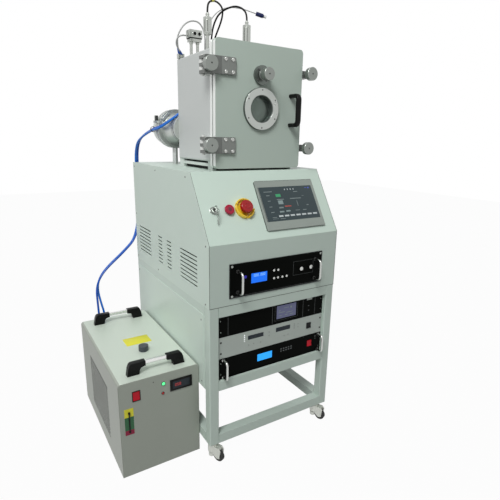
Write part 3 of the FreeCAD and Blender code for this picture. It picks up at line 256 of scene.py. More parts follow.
# Boxes, in the cabinet's millimetres, in which a finish changes
finishZones = {
    # painted highlight: the left edge of the front flange drawn bright, where light catches its rounded
    # edge
    "chamberPaint": [
        {"low": (105, 182, 1140), "high": (113, 200, 1610), "color": (0.88, 0.91, 0.88), "roughness": 0.3,
         "metallic": 0.35},
    ],
    # painted shade on the left side, painted light on the top, bare hose fittings at the back
    "chillerPaint": [
        {"low": (-330, 90, -2), "high": (-319.5, 745, 394), "color": (0.32, 0.35, 0.30), "roughness": 0.4},
        {"low": (-330, 92, 395.6), "high": (0, 730, 400), "color": (0.66, 0.74, 0.65), "roughness": 0.4},
        {"low": (-245, 746.6, 296), "high": (-186, 772, 334), "color": (0.34, 0.33, 0.28), "roughness": 0.3,
         "metallic": 0.9},
    ],
    # painted highlight: the left edge of the door drawn bright, where light catches its rounded edge
    "doorPaint": [
        {"low": (100, 150, 1140), "high": (108.6, 180, 1610), "color": (0.88, 0.91, 0.88), "roughness": 0.3,
         "metallic": 0.35},
    ],
    # feet and rails below the chamber
    "bracketPaint": [
        {"low": (60, 150, 1130), "high": (520, 530, 1171), "color": (0.64, 0.70, 0.66), "roughness": 0.4},
    ],
    # dark boss of the shutter, dark rim of the viewport
    "ringSteel": [
        {"low": (268, 146, 1454), "high": (340, 157.2, 1528), "color": (0.16, 0.18, 0.165),
         "roughness": 0.35, "metallic": 0.8},
        {"low": (224, 145.4, 1289), "high": (384, 157.5, 1449), "color": (0.10, 0.115, 0.105),
         "roughness": 0.4, "metallic": 0.5},
    ],
    # painted shade: near-black bands in the grooves between the pump's rings and discs, where shade falls
    "satinSteel": [
        {"low": (70, 523.4, 1200), "high": (230, 528.6, 1400), "color": (0.01, 0.012, 0.01),
         "roughness": 0.5},
        {"low": (70, 541.0, 1200), "high": (230, 546.0, 1400), "color": (0.02, 0.022, 0.02),
         "roughness": 0.5},
        {"low": (50, 636.0, 1190), "high": (250, 640.0, 1400), "color": (0.02, 0.022, 0.02),
         "roughness": 0.5},
        {"low": (50, 650.0, 1190), "high": (250, 654.0, 1400), "color": (0.02, 0.022, 0.02),
         "roughness": 0.5},
    ],
    # painted light: the sloping face drawn lighter than the rest of the console, for the stronger light it
    # catches
    "consolePaint": [
        {"low": (2.2, -5, 890.0), "high": (597.8, 160, 1140), "color": (0.66, 0.80, 0.71),
         "roughness": 0.42},
    ],
    # dark feet of the bow handles
    "handleSteel": [
        {"low": (90, -8, 680), "high": (520, -2.6, 815), "color": (0.004, 0.005, 0.004), "roughness": 0.4},
        {"low": (60, 7, 335), "high": (540, 12.4, 450), "color": (0.004, 0.005, 0.004), "roughness": 0.4},
    ],
    # bare tip of the plug
    "navyPlastic": [
        {"low": (408.8, 290, 1720), "high": (440, 330, 1750), "color": (0.60, 0.61, 0.60),
         "roughness": 0.25, "metallic": 1.0},
    ],
}


# Besides the bevel radius, an edge argument sets a painted highlight: how much lighter the finish is drawn
# along its rounded edges
def makeFinish(name, color, roughness, metallic=0.0, spread=0.06, grain=700.0, bump=0.04, edge=0.0008,
               paintedEdgeHighlight=0.12, lines=None, **shaderValues):
    material = bpy.data.materials.new(name)
    material.use_nodes = True
    tree = material.node_tree
    shader = tree.nodes["Principled BSDF"]
    shader.inputs["Metallic"].default_value = metallic
    for label, value in shaderValues.items():
        shader.inputs[label.replace("_", " ")].default_value = value
    tone = useEffect(tree, "surfaceTone", Color=(*color, 1), Spread=spread, Roughness=roughness,
                     Grain_Scale=grain, Edge_Lift=paintedEdgeHighlight)
    corner = useEffect(tree, "roundedEdge", Radius=edge)
    tree.links.new(corner.outputs["Edge"], tone.inputs["Edge"])
    paint, rough, height = tone.outputs["Color"], tone.outputs["Roughness"], tone.outputs["Height"]
    if lines:
        drawn = useEffect(tree, "brushedLines", **lines)
        paint = brighten(tree, paint, drawn.outputs["Tone"])
        height = drawn.outputs["Height"]
    metal = None
    for zone in finishZones.get(name, []):
        mask = useEffect(tree, "zoneMask", Low=inFrame(*zone["low"]),
                         High=inFrame(*zone["high"])).outputs["Mask"]
        paint = mixInto(tree, "RGBA", mask, paint, zone["color"])
        rough = mixInto(tree, "FLOAT", mask, rough, zone["roughness"])
        metal = mixInto(tree, "FLOAT", mask, metallic if metal is None else metal,
                        zone.get("metallic", 0.0))
    if metal is not None:
        tree.links.new(metal, shader.inputs["Metallic"])
    tree.links.new(paint, shader.inputs["Base Color"])
    tree.links.new(rough, shader.inputs["Roughness"])
    relief = tree.nodes.new("ShaderNodeBump")
    relief.inputs["Strength"].default_value = bump
    relief.inputs["Distance"].default_value = 0.0005
    tree.links.new(height, relief.inputs["Height"])
    tree.links.new(corner.outputs["Normal"], relief.inputs["Normal"])
    tree.links.new(relief.outputs[0], shader.inputs["Normal"])
    return material


paintColor = (0.60, 0.71, 0.64)
chamberColor = (0.57, 0.60, 0.585)
steelColor = (0.50, 0.51, 0.49)
darkSteelColor = (0.16, 0.17, 0.16)
finishes = {
    "cabinetPaint": makeFinish("cabinetPaint", paintColor, 0.42, spread=0.03, edge=0.0012, paintedEdgeHighlight=0.25),
    "chamberPaint": makeFinish("chamberPaint", chamberColor, 0.36, metallic=0.15, spread=0.05, edge=0.0014,
                               paintedEdgeHighlight=0.25),
    # Chiller paint: its own warm grey-green, and drawn darker than the cabinet paint as painted shade for
    # the dimmer light near the floor
    "chillerPaint": makeFinish("chillerPaint", (0.38, 0.415, 0.36), 0.40, spread=0.03, edge=0.002,
                               paintedEdgeHighlight=0.7),
    # Door paint: a darker copy of the cabinet paint, painted shade on the door's front face
    "doorPaint": makeFinish("doorPaint", (0.53, 0.63, 0.56), 0.42, spread=0.03, edge=0.0014, paintedEdgeHighlight=0.25),
    "bracketPaint": makeFinish("bracketPaint", (0.72, 0.74, 0.71), 0.34, metallic=0.35, spread=0.06,
                               bump=0.04, paintedEdgeHighlight=0.4),
    "ringSteel": makeFinish("ringSteel", (0.50, 0.53, 0.50), 0.30, metallic=0.7, spread=0.08, bump=0.05,
                            paintedEdgeHighlight=0.5),
    "satinSteel": makeFinish("satinSteel", (0.58, 0.61, 0.58), 0.36, metallic=0.75, spread=0.1, bump=0.05,
                             paintedEdgeHighlight=0.6, lines={"Stretch": (12, 800, 12), "Strength": 0.35}),
    "consolePaint": makeFinish("consolePaint", paintColor, 0.42, spread=0.03, edge=0.0012, paintedEdgeHighlight=0.25),
    "blackPanel": makeFinish("blackPanel", (0.003, 0.0036, 0.003), 0.36, spread=0.2, grain=1200.0,
                             bump=0.06, paintedEdgeHighlight=3.0, Specular_IOR_Level=0.02),
    "greyPanel": makeFinish("greyPanel", (0.44, 0.495, 0.455), 0.38, metallic=0.15, spread=0.03,
                            lines={"Stretch": (15, 900, 900), "Strength": 0.08}),
    "silverBand": makeFinish("silverBand", (0.29, 0.33, 0.30), 0.42, metallic=0.5, spread=0.08,
                             lines={"Stretch": (15, 900, 900), "Strength": 0.2}),
    "steel": makeFinish("steel", steelColor, 0.27, metallic=1.0, spread=0.1, bump=0.05),
    "turned": makeFinish("turned", (0.27, 0.29, 0.27), 0.30, metallic=0.85, spread=0.12, bump=0.08,
                         paintedEdgeHighlight=1.2),
    "darkSteel": makeFinish("darkSteel", darkSteelColor, 0.42, metallic=0.55, spread=0.15, bump=0.08,
                            paintedEdgeHighlight=1.2, lines={"Stretch": (900, 900, 15), "Strength": 0.3}),
    "chrome": makeFinish("chrome", (0.55, 0.56, 0.54), 0.14, metallic=1.0, spread=0.10, bump=0.01,
                         paintedEdgeHighlight=0.8),
    "handleSteel": makeFinish("handleSteel", (0.52, 0.53, 0.51), 0.2, metallic=1.0, spread=0.1, bump=0.02,
                              paintedEdgeHighlight=0.6),
    "keySteel": makeFinish("keySteel", (0.30, 0.32, 0.30), 0.20, metallic=1.0, spread=0.25, bump=0.02,
                           edge=0.0004, paintedEdgeHighlight=1.6),
    "blackPlastic": makeFinish("blackPlastic", (0.004, 0.004, 0.004), 0.36, spread=0.3, grain=1500.0,
                               bump=0.1, paintedEdgeHighlight=1.5, Specular_IOR_Level=0.14),
    "slatePlastic": makeFinish("slatePlastic", (0.05, 0.06, 0.07), 0.45, spread=0.2, bump=0.08,
                               paintedEdgeHighlight=1.0),
    "yellowPlastic": makeFinish("yellowPlastic", (0.90, 0.62, 0.03), 0.32, spread=0.08, Coat_Weight=0.3),
    "redPlastic": makeFinish("redPlastic", (0.38, 0.002, 0.006), 0.22, spread=0.1, Specular_IOR_Level=0.4),
    "raspberryPlastic": makeFinish("raspberryPlastic", (0.40, 0.006, 0.04), 0.28, spread=0.1,
                                   Specular_IOR_Level=0.4),
    "sealRubber": makeFinish("sealRubber", (0.03, 0.03, 0.03), 0.7, spread=0.2),
    "tread": makeFinish("tread", (0.025, 0.025, 0.025), 0.75, spread=0.3, bump=0.2),
    "castMetal": makeFinish("castMetal", (0.62, 0.64, 0.59), 0.45, metallic=0.6, spread=0.15, grain=500.0,
                            bump=0.12),
    "hoseBlue": makeFinish("hoseBlue", (0.003, 0.09, 0.50), 0.25, spread=0.1, edge=0.0002,
                           Specular_IOR_Level=0.4),
    "hoseBlueLight": makeFinish("hoseBlueLight", (0.006, 0.16, 0.66), 0.25, spread=0.1, edge=0.0002,
                                Specular_IOR_Level=0.4),
    "cableBlack": makeFinish("cableBlack", (0.004, 0.004, 0.004), 0.45, spread=0.2, edge=0.0002,
                             Specular_IOR_Level=0.15),
    "cableGrey": makeFinish("cableGrey", (0.42, 0.43, 0.42), 0.45, spread=0.1, edge=0.0002),
    "airTube": makeFinish("airTube", (0.50, 0.51, 0.50), 0.30, spread=0.1, edge=0.0002),
    "navyPlastic": makeFinish("navyPlastic", (0.004, 0.010, 0.075), 0.35, spread=0.1,
                              Specular_IOR_Level=0.25),
    "panelPaint": makeFinish("panelPaint", (0.65, 0.765, 0.69), 0.42, spread=0.04, edge=0.0012,
                             paintedEdgeHighlight=0.25),
    "sleeveYellow": makeFinish("sleeveYellow", (0.85, 0.80, 0.06), 0.45, spread=0.1),
    "screwDark": makeFinish("screwDark", (0.10, 0.10, 0.10), 0.35, metallic=0.8, edge=0.0003),
    "labelYellow": makeFinish("labelYellow", (0.80, 0.76, 0.05), 0.5, spread=0.05),
    "holeBlack": makeFinish("holeBlack", (0.01, 0.01, 0.01), 0.8, spread=0.1),
}


def makeGlow(name, color, glow, roughness=0.25, spread=0.1):
    material = makeFinish(name, color, roughness, spread=spread, edge=0.0003, Emission_Strength=1.0,
                          Specular_IOR_Level=0.15)
    material.node_tree.nodes["Principled BSDF"].inputs["Emission Color"].default_value = (*glow, 1)
    return material


finishes.update({
    "lcdBlue": makeGlow("lcdBlue", (0.005, 0.04, 0.20), (0.008, 0.15, 0.85)),
    "lcdPale": makeGlow("lcdPale", (0.15, 0.3, 0.5), (0.22, 0.46, 0.95)),
    "lcdDark": makeGlow("lcdDark", (0.02, 0.025, 0.03), (0.004, 0.006, 0.008)),
    "slateScreen": makeGlow("slateScreen", (0.022, 0.032, 0.035), (0.024, 0.034, 0.037), 0.16),
    "screenMark": makeGlow("screenMark", (0.16, 0.19, 0.19), (0.06, 0.075, 0.075)),
    "screenRed": makeGlow("screenRed", (0.35, 0.08, 0.06), (0.12, 0.02, 0.02)),
    "screenGreen": makeGlow("screenGreen", (0.04, 0.22, 0.10), (0.025, 0.16, 0.07)),
    "greenLamp": makeGlow("greenLamp", (0.10, 0.75, 0.25), (0.12, 0.95, 0.32)),
    "redLamp": makeGlow("redLamp", (0.30, 0.02, 0.02), (0.06, 0.004, 0.004)),
    "redDigit": makeGlow("redDigit", (0.25, 0.03, 0.03), (0.22, 0.03, 0.03)),
    "litRed": makeGlow("litRed", (0.30, 0.005, 0.012), (0.16, 0.003, 0.008)),
    "violetLamp": makeGlow("violetLamp", (0.03, 0.02, 0.20), (0.015, 0.012, 0.20)),
})


finishes["viewGlass"] = makeFinish("viewGlass", (0.50, 0.59, 0.54), 0.05, spread=0.02, edge=0.0002,
                                   bump=0.0, Transmission_Weight=0.92, IOR=1.45)
print("finishes made:", len(finishes))


# Building blocks: each adds to a bmesh in millimetres, and finishPiece turns it into a piece of the model
def addSlab(mesh, low, high, edge=0.0, steps=2):
    middle = [(a + b) / 2 for a, b in zip(low, high)]
    size = [b - a for a, b in zip(low, high)]
    place = Matrix.Translation(middle) @ Matrix.Diagonal((*size, 1))
    corners = bmesh.ops.create_cube(mesh, size=1.0, matrix=place)["verts"]
    if edge:
        edges = list({e for v in corners for e in v.link_edges})
        bmesh.ops.bevel(mesh, geom=edges, offset=edge, segments=steps, profile=0.7, affect="EDGES")


def addTurned(mesh, profile, base, axis, steps=40):
    turn = Vector((0, 0, 1)).rotation_difference(Vector(axis)).to_matrix().to_4x4()
    place = Matrix.Translation(base) @ turn
    rows = []
    for radius, height in profile:
        if radius < 1e-6:
            rows.append([mesh.verts.new(place @ Vector((0, 0, height)))])
        else:
            angles = [2 * math.pi * i / steps for i in range(steps)]
            rim = [Vector((radius * math.cos(a), radius * math.sin(a), height)) for a in angles]
            rows.append([mesh.verts.new(place @ point) for point in rim])
    for first, second in zip(rows, rows[1:]):
        for i in range(steps):
            j = (i + 1) % steps
            if len(first) == 1 and len(second) == 1:
                continue
            if len(first) == 1:
                mesh.faces.new((first[0], second[j], second[i]))
            elif len(second) == 1:
                mesh.faces.new((first[i], first[j], second[0]))
            else:
                mesh.faces.new((first[i], first[j], second[j], second[i]))


# The outline lies in the two axes left over, in the order x, y, z
def addPrism(mesh, outline, start, end, along, edge=0.0, steps=2):
    def point(pair, depth):
        values = list(pair)
        values.insert("xyz".index(along), depth)
        return mesh.verts.new(values)
    near = [point(p, start) for p in outline]
    far = [point(p, end) for p in outline]
    faces = [mesh.faces.new(near), mesh.faces.new(list(reversed(far)))]
    for i in range(len(outline)):
        j = (i + 1) % len(outline)
        faces.append(mesh.faces.new((near[j], near[i], far[i], far[j])))
    if edge:
        edges = list({e for f in faces for e in f.edges})
        bmesh.ops.bevel(mesh, geom=edges, offset=edge, segments=steps, profile=0.7, affect="EDGES")


def addSocketScrew(mesh, place, axis, radius, height, socket=0.5, steps=20):
    profile = [(radius, 0), (radius, height * 0.85), (radius * 0.88, height), (radius * socket, height),
               (radius * socket * 0.85, height * 0.45), (0, height * 0.4)]
    addTurned(mesh, profile, place, axis, steps)


def addDomeScrew(mesh, place, axis, radius, height, steps=16):
    profile = [(radius, 0), (radius * 0.95, height * 0.5), (radius * 0.7, height * 0.9),
               (radius * 0.35, height), (radius * 0.25, height * 0.5), (0, height * 0.45)]
    addTurned(mesh, profile, place, axis, steps)


def finishPiece(name, mesh, finish, body="cabinet", slot="steel", space=cabinetSpace, sharp=32.0):
    bmesh.ops.recalc_face_normals(mesh, faces=mesh.faces)
    data = bpy.data.meshes.new(name)
    mesh.to_mesh(data)
    mesh.free()
    data.transform(space)
    data.shade_smooth()
    data.set_sharp_from_angle(angle=math.radians(sharp))
    data.materials.append(finishes[finish])
    piece = bpy.data.objects.new(name, data)
    scene.collection.objects.link(piece)
    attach(piece, body)
    return piece


def slabPiece(name, low, high, edge, finish, **keep):
    mesh = bmesh.new()
    addSlab(mesh, low, high, edge)
    return finishPiece(name, mesh, finish, **keep)


def turnedPiece(name, profile, base, axis, finish, steps=48, **keep):
    mesh = bmesh.new()
    addTurned(mesh, profile, base, axis, steps)
    return finishPiece(name, mesh, finish, **keep)


def wirePiece(name, points, radius, finish, body="cabinet", space=cabinetSpace):
    curve = bpy.data.curves.new(name, "CURVE")
    curve.dimensions = "3D"
    curve.bevel_depth = 1.0    # each point carries the radius, so that the box stays true
    curve.bevel_resolution = 5
    curve.resolution_u = 10
    curve.use_fill_caps = True
    spline = curve.splines.new("NURBS")
    spline.points.add(len(points) - 1)
    for point, place in zip(spline.points, points):
        point.co = (*(space @ Vector(place)), 1)
        point.radius = radius / 1000
    spline.order_u = 3
    spline.use_endpoint_u = True
    curve.materials.append(finishes[finish])
    piece = bpy.data.objects.new(name, curve)
    scene.collection.objects.link(piece)
    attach(piece, body)
    return piece


# Cords: two water hoses, two gauge cables, a sensor cable and two air tubes
cords = {
    "hoseSupply": {
        "node": "cooling_hose_supply", "radius": 5.0, "length": 1.41, "finish": "hoseBlue",
        "slot": "hose_blue", "stiffness": "medium", "farEnd": "object",
        "route": [
            (179, 551, 1382), (143, 553, 1366), (98, 562, 1334), (62, 597, 1304), (50, 645, 1297),
            (46, 695, 1286), (34, 745, 1268), (27, 795, 1243), (27, 832, 1200), (30, 852, 1140),
            (34, 860, 1060), (34, 862, 975), (32, 860, 890), (18, 852, 810), (-11, 842, 743),
            (-52, 832, 706), (-101, 815, 671), (-150, 805, 636), (-189, 795, 603), (-215, 785, 569),
            (-230, 775, 527), (-231, 765, 470), (-230, 758, 395), (-230, 758, 322),
        ],
    },
    "hoseReturn": {
        "node": "cooling_hose_return", "radius": 5.0, "length": 1.40, "finish": "hoseBlueLight",
        "slot": "hose_blue", "stiffness": "medium", "farEnd": "object",
        "route": [
            (164, 537, 1374), (128, 540, 1362), (91, 549, 1330), (53, 588, 1297), (42, 643, 1289),
            (37, 693, 1278), (25, 742, 1260), (16, 791, 1236), (16, 828, 1196), (19, 850, 1138),
            (23, 858, 1058), (23, 863, 973), (22, 867, 889), (14, 863, 808), (-12, 853, 741),
            (-53, 843, 705), (-101, 826, 671), (-150, 816, 636), (-188, 806, 602), (-213, 796, 566),
            (-222, 785, 525), (-216, 772, 470), (-201, 758, 395), (-201, 758, 322),
        ],
    },
    "gaugeCableLeft": {
        "node": "gauge_cable_left", "radius": 3.5, "length": 0.375, "finish": "cableBlack",
        "slot": "cable_black", "stiffness": "medium", "farEnd": "object", "withPieces": ["cableRing"],
        "route": [
            (150, 300, 1712), (150, 300, 1738), (168, 313, 1757), (197, 331, 1767), (230, 352, 1765),
            (258, 380, 1757), (270, 405, 1738), (270, 425, 1712), (267, 445, 1688), (263, 462, 1662),
            (260, 471, 1622), (260, 471, 1584),
        ],
    },
    "gaugeCableRight": {
        "node": "gauge_cable_right", "radius": 3.5, "length": 0.338, "finish": "cableBlack",
        "slot": "cable_black", "stiffness": "medium", "farEnd": "object",
        "route": [
            (323, 300, 1708), (323, 300, 1733), (311, 313, 1754), (289, 332, 1763), (268, 348, 1757),
            (253, 362, 1749), (240, 385, 1735), (237, 412, 1712), (240, 436, 1690), (244, 452, 1664),
            (243, 461, 1622), (243, 461, 1584),
        ],
    },
    "sensorCable": {
        "node": "sensor_cable", "radius": 2.0, "length": 0.339, "finish": "cableGrey", "slot": "cable_grey",
        "stiffness": "medium", "farEnd": "plug", "withPieces": ["sensor_plug"],
        "route": [
            (205, 428, 1584), (205, 428, 1625), (210, 430, 1672), (222, 430, 1711), (240, 424, 1741),
            (263, 412, 1762), (294, 392, 1774), (339, 360, 1767), (360, 342, 1757), (383, 328, 1749),
        ],
    },
    "airTubeFront": {
        "node": "air_tube_front", "radius": 3.0, "length": 0.117, "finish": "airTube", "slot": "air_tube",
        "stiffness": "medium", "farEnd": "object",
        "route": [(122, 428, 1652), (98, 428, 1652), (83, 437, 1640), (84, 451, 1621), (99, 465, 1607),
                  (116, 482, 1597)],
    },
    "airTubeRear": {
        "node": "air_tube_rear", "radius": 3.0, "length": 0.310, "finish": "airTube", "slot": "air_tube",
        "stiffness": "medium", "farEnd": "object",
        "route": [
            (213, 452, 1584), (213, 452, 1630), (212, 451, 1676), (190, 446, 1710), (158, 447, 1716),
            (127, 452, 1703), (104, 457, 1674), (93, 465, 1640), (108, 486, 1606),
        ],
    },
}


# Colour ring on the left gauge cable
cableRing = {"middle": (182.5, 322.0, 1762.0), "along": (0.815, 0.506, 0.281), "half": 8.0, "radius": 4.5}


def makeCableRing(look):
    middle, along = Vector(look["middle"]), Vector(look["along"])
    points = [middle + along * look["half"] * side for side in (-1, 0, 1)]
    wirePiece("cableRing", points, look["radius"], "sleeveYellow")


makeCableRing(cableRing)


def layCord(name, cord):
    piece = wirePiece(name, cord["route"], cord["radius"], cord["finish"])
    piece.data.resolution_u = 8
    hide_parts(cord["node"])


for cordName, cordData in cords.items():
    layCord(cordName, cordData)
print("cords laid:", len(cords))


# Cabinet screws
cabinetScrews = {
    "side": [(815, 1118), (518, 1118), (194, 1116), (26, 886), (31, 665), (523, 667), (815, 886),
             (815, 667)],
    "lower": [(804, 594), (67, 592), (804, 332), (67, 332)],
    "lowerPlate": 1.5, "radius": 3.4, "height": 1.1,
}


def makeCabinetScrews(look):
    mesh = bmesh.new()
    for y, z in look["side"]:
        addDomeScrew(mesh, (0, y, z), (-1, 0, 0), look["radius"], look["height"])
        addDomeScrew(mesh, (cabinet["width"], y, z), (1, 0, 0), look["radius"], look["height"])
    for y, z in look["lower"]:
        addDomeScrew(mesh, (-look["lowerPlate"], y, z), (-1, 0, 0), look["radius"], look["height"])
    finishPiece("cabinetScrews", mesh, "screwDark", slot="dark_steel")


makeCabinetScrews(cabinetScrews)

# Painted shadow in the seams of the console, and the strips beside the lower side sheets
seams = {
    "width": 1.3, "proud": 0.12, "edge": (1.3, 597.4), "slopeLength": 290.2, "low": (653.9, 655.5),
    "strip": {"front": 39.6, "back": 51.0, "low": 309.5, "high": 616.0, "thick": 1.3},
}


def makeSeams(look):
    width, proud = look["width"], look["proud"]
    mesh = bmesh.new()
    # painted shadow: thin black strips just proud of the seams, standing in for the shade in the gaps
    addSlab(mesh, (1.0, -proud, look["low"][0]), (cabinet["width"] - 1.0, 0.4, look["low"][1]))
    for x in look["edge"]:
        addSlab(mesh, (x, -proud, look["low"][1]), (x + width, 0.4, cabinet["slopeBottom"]))
    finishPiece("consoleSeamShadow", mesh, "holeBlack", slot="black_plastic")
    mesh = bmesh.new()
    for x in look["edge"]:
        addSlab(mesh, (x, 0, -0.4), (x + width, look["slopeLength"], proud))
    finishPiece("slopeSeamShadow", mesh, "holeBlack", slot="black_plastic", space=slopeSpace)
    strip = look["strip"]
    mesh = bmesh.new()
    for left in (-0.2, cabinet["width"] + 0.2 - strip["thick"]):
        addSlab(mesh, (left, strip["front"], strip["low"]),
                (left + strip["thick"], strip["back"], strip["high"]))
    finishPiece("sideStrips", mesh, "panelPaint", slot="cabinet_paint")


makeSeams(seams)

# Radio frequency generator: screen, lamp, screws, border lines
generator = {
    "face": -3.0, "left": 82.0, "right": 522.0, "low": 682.0, "high": 814.5,
    "screen": (176.0, 248.0, 728.0, 767.0), "screenFace": -2.8, "screenThick": 0.8,
    "digits": {"text": "000000", "left": 188.0, "low": 755.0, "height": 7.0, "width": 4.6, "pitch": 7.6,
               "gapAfter": 2},
    "screws": [(92, 690), (92, 805.5), (512, 690), (512, 805.5)], "screwRadius": 4.8, "screwHeight": 2.4,
    "lamp": (150, 758), "lampRadius": 6.0,
    "border": (374.0, 476.0, 729.0, 786.0), "borderLine": 0.7,
    "strip": (100.0, 505.0, 686.2, 687.2),
}
segmentShape = {
    "a": ((0, 1), (1, 1)), "b": ((1, 0.5), (1, 1)), "c": ((1, 0), (1, 0.5)), "d": ((0, 0), (1, 0)),
    "e": ((0, 0), (0, 0.5)), "f": ((0, 0.5), (0, 1)), "g": ((0, 0.5), (1, 0.5)),
}
digitSegments = {"0": "abcdef", "1": "bc", "2": "abged", "3": "abgcd", "5": "afgcd", "8": "abcdefg"}


# Seven-bar digits on a face that looks to the front
def addDigits(mesh, look, face, lift=0.15):
    line = look["height"] * 0.09
    x = look["left"]
    for index, digit in enumerate(look["text"]):
        for name in digitSegments[digit]:
            (x1, z1), (x2, z2) = segmentShape[name]
            addSlab(mesh, (x + x1 * look["width"] - line, face - lift,
                           look["low"] + z1 * look["height"] - line),
                    (x + x2 * look["width"] + line, face, look["low"] + z2 * look["height"] + line))
        x += look["pitch"] * (2 if index == look["gapAfter"] else 1)


def addBorder(mesh, area, line, face, lift=0.12):
    left, right, low, high = area
    addSlab(mesh, (left, face - lift, low), (right, face, low + line))
    addSlab(mesh, (left, face - lift, high - line), (right, face, high))
    addSlab(mesh, (left, face - lift, low + line), (left + line, face, high - line))
    addSlab(mesh, (right - line, face - lift, low + line), (right, face, high - line))


def makeScreenSlab(name, area, face, thick, finish, **keep):
    return slabPiece(name, (area[0], face, area[2]), (area[1], face + thick, area[3]), 0.15, finish,
                     slot="display", **keep)


def makeGenerator(look):
    screen = makeScreenSlab("generatorScreen", look["screen"], look["screenFace"], look["screenThick"],
                            "lcdBlue")
    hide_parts("display_windows")
    mesh = bmesh.new()
    addDigits(mesh, look["digits"], look["screenFace"])
    left, right, low, high = look["screen"]
    addSlab(mesh, (left + 12, look["screenFace"] - 0.15, high - 14.6),
            (right - 8, look["screenFace"], high - 14.0))
    finishPiece("generatorDigits", mesh, "lcdPale", slot="display")
    mesh = bmesh.new()
    for x, z in look["screws"]:
        addSocketScrew(mesh, (x, look["face"], z), (0, -1, 0), look["screwRadius"], look["screwHeight"])
    finishPiece("generatorScrews", mesh, "keySteel", slot="steel")
    x, z = look["lamp"]
    radius = look["lampRadius"]
    turnedPiece("generatorLamp", [(radius, 0), (radius, 0.8), (radius * 0.8, 1.4), (0, 1.7)],
                (x, look["face"], z), (0, -1, 0), "violetLamp", slot="display")
    mesh = bmesh.new()
    addBorder(mesh, look["border"], look["borderLine"], look["face"])
    left, right, low, high = look["strip"]
    addSlab(mesh, (left, look["face"] - 0.12, low), (right, look["face"], high))
    edge = 0.8
    addBorder(mesh, (look["left"], look["right"], look["low"], look["high"]), edge, look["face"], 0.1)
    finishPiece("generatorLines", mesh, "lineGrey", slot="grey_panel")


finishes["lineGrey"] = makeFinish("lineGrey", (0.09, 0.10, 0.10), 0.4, metallic=0.4, edge=0.0002)
makeGenerator(generator)

# The three rack units: screens, grooves, buttons and marks
rackUnits = {
    "face": 12.0, "screenFace": 12.2, "screenThick": 0.8,
    "earHoles": {"x": (54.0, 546.0), "z": (458.0, 504.0)}, "meter": {
        "screen": (311.0, 410.0, 546.0, 603.0), "grooves": (85, 290, 447, 512), "low": 527.0, "high": 612.5,
        "label": (466.0, 494.0, 600.0, 611.5), "buttons": [(477, 574), (478, 553)],
        "marks": [(320, 352, 571, 573.5), (360, 392, 566, 568.5), (322, 338, 557, 559.5),
                  (352, 366, 557, 559.5), (378, 396, 556, 558.5), (348, 372, 588, 590),
                  (380, 388, 584, 592), (322, 330, 578, 582)],
    },
    "match": {
        "screens": [(175.0, 249.0, 487.0, 505.0), (310.0, 383.0, 489.0, 508.0)],
        "leds": [(159, 486), (159, 494.5), (159, 503), (159, 511)],
        "buttons": [(178, 465), (202, 466), (235, 464), (276, 498), (276, 483), (353, 464), (373, 466),
                    (404, 505), (404, 496), (404, 487), (424, 502), (424, 488)],
    },
    "flow": {
        "screen": (222.0, 294.0, 380.0, 411.0),
        "buttons": [(340 + 13 * i, z) for i in range(5) for z in (396, 406)],
        "dots": [(524, 424), (524, 417), (524, 410)],
    },
}


def makeRackUnits(look):
    face, screenFace, thick = look["face"], look["screenFace"], look["screenThick"]
    meter, match, flow = look["meter"], look["match"], look["flow"]
    makeScreenSlab("meterScreen", meter["screen"], screenFace, thick, "meterScreen")
    mesh = bmesh.new()
    for left, right, low, high in meter["marks"]:
        addSlab(mesh, (left, screenFace - 0.12, low), (right, screenFace, high))
    finishPiece("meterMarks", mesh, "screenMark", slot="display")
    mesh = bmesh.new()
    for x in meter["grooves"]:
        addSlab(mesh, (x - 0.6, face - 0.15, meter["low"]), (x + 0.6, face, meter["high"]))
    addBorder(mesh, (302.0, 419.0, 539.0, 609.0), 0.7, face)
    for x, z in meter["buttons"]:
        addSlab(mesh, (x - 3, face - 0.8, z - 1.5), (x + 3, face, z + 1.5), 0.3)
    for x, z in flow["buttons"]:
        addSlab(mesh, (x - 3.6, face - 1.2, z - 2.4), (x + 3.6, face, z + 2.4), 0.5)
    finishPiece("rackLines", mesh, "lineGrey", slot="grey_panel")
    mesh = bmesh.new()
    for x in look["earHoles"]["x"]:
        for z in look["earHoles"]["z"]:
            addSlab(mesh, (x - 3.6, face - 0.12, z - 3.6), (x + 3.6, face, z + 3.6))
    finishPiece("earHoles", mesh, "holeBlack", slot="black_plastic")
    left, right, low, high = meter["label"]
    slabPiece("meterLatch", (left, face - 1.5, low), (right, face, high), 0.6, "greyPanel",
              slot="grey_panel")
    for number, area in enumerate(match["screens"], start=1):
        makeScreenSlab(f"matchScreen{number}", area, screenFace, thick, "lcdDark")
    mesh = bmesh.new()
    for x, z in match["leds"]:
        addTurned(mesh, [(2.6, 0), (2.6, 0.6), (1.6, 1.2), (0, 1.4)], (x, face, z), (0, -1, 0), 16)
    finishPiece("matchLamps", mesh, "lampWhite", slot="display")
    mesh = bmesh.new()
    for x, z in match["buttons"]:
        addTurned(mesh, [(2.6, 0), (2.6, 1.0), (2.0, 1.5), (0, 1.5)], (x, face, z), (0, -1, 0), 16)
    finishPiece("matchButtons", mesh, "buttonGrey", slot="grey_plastic")
    makeScreenSlab("flowScreen", flow["screen"], screenFace, thick, "lcdCyan")
    mesh = bmesh.new()
    for x, z in flow["dots"]:
        addTurned(mesh, [(1.5, 0), (1.3, 0.6), (0, 0.8)], (x, face, z), (0, -1, 0), 12)
    finishPiece("flowLamps", mesh, "buttonGrey", slot="grey_plastic")


finishes.update({
    "meterScreen": makeGlow("meterScreen", (0.06, 0.065, 0.11), (0.065, 0.07, 0.12), 0.2),
    "lampWhite": makeGlow("lampWhite", (0.75, 0.78, 0.78), (0.5, 0.52, 0.52)),
    "lcdCyan": makeGlow("lcdCyan", (0.02, 0.20, 0.45), (0.02, 0.33, 0.90)),
    "buttonGrey": makeFinish("buttonGrey", (0.30, 0.33, 0.31), 0.5, edge=0.0002),
})
makeRackUnits(rackUnits)
print("generator and rack units made")

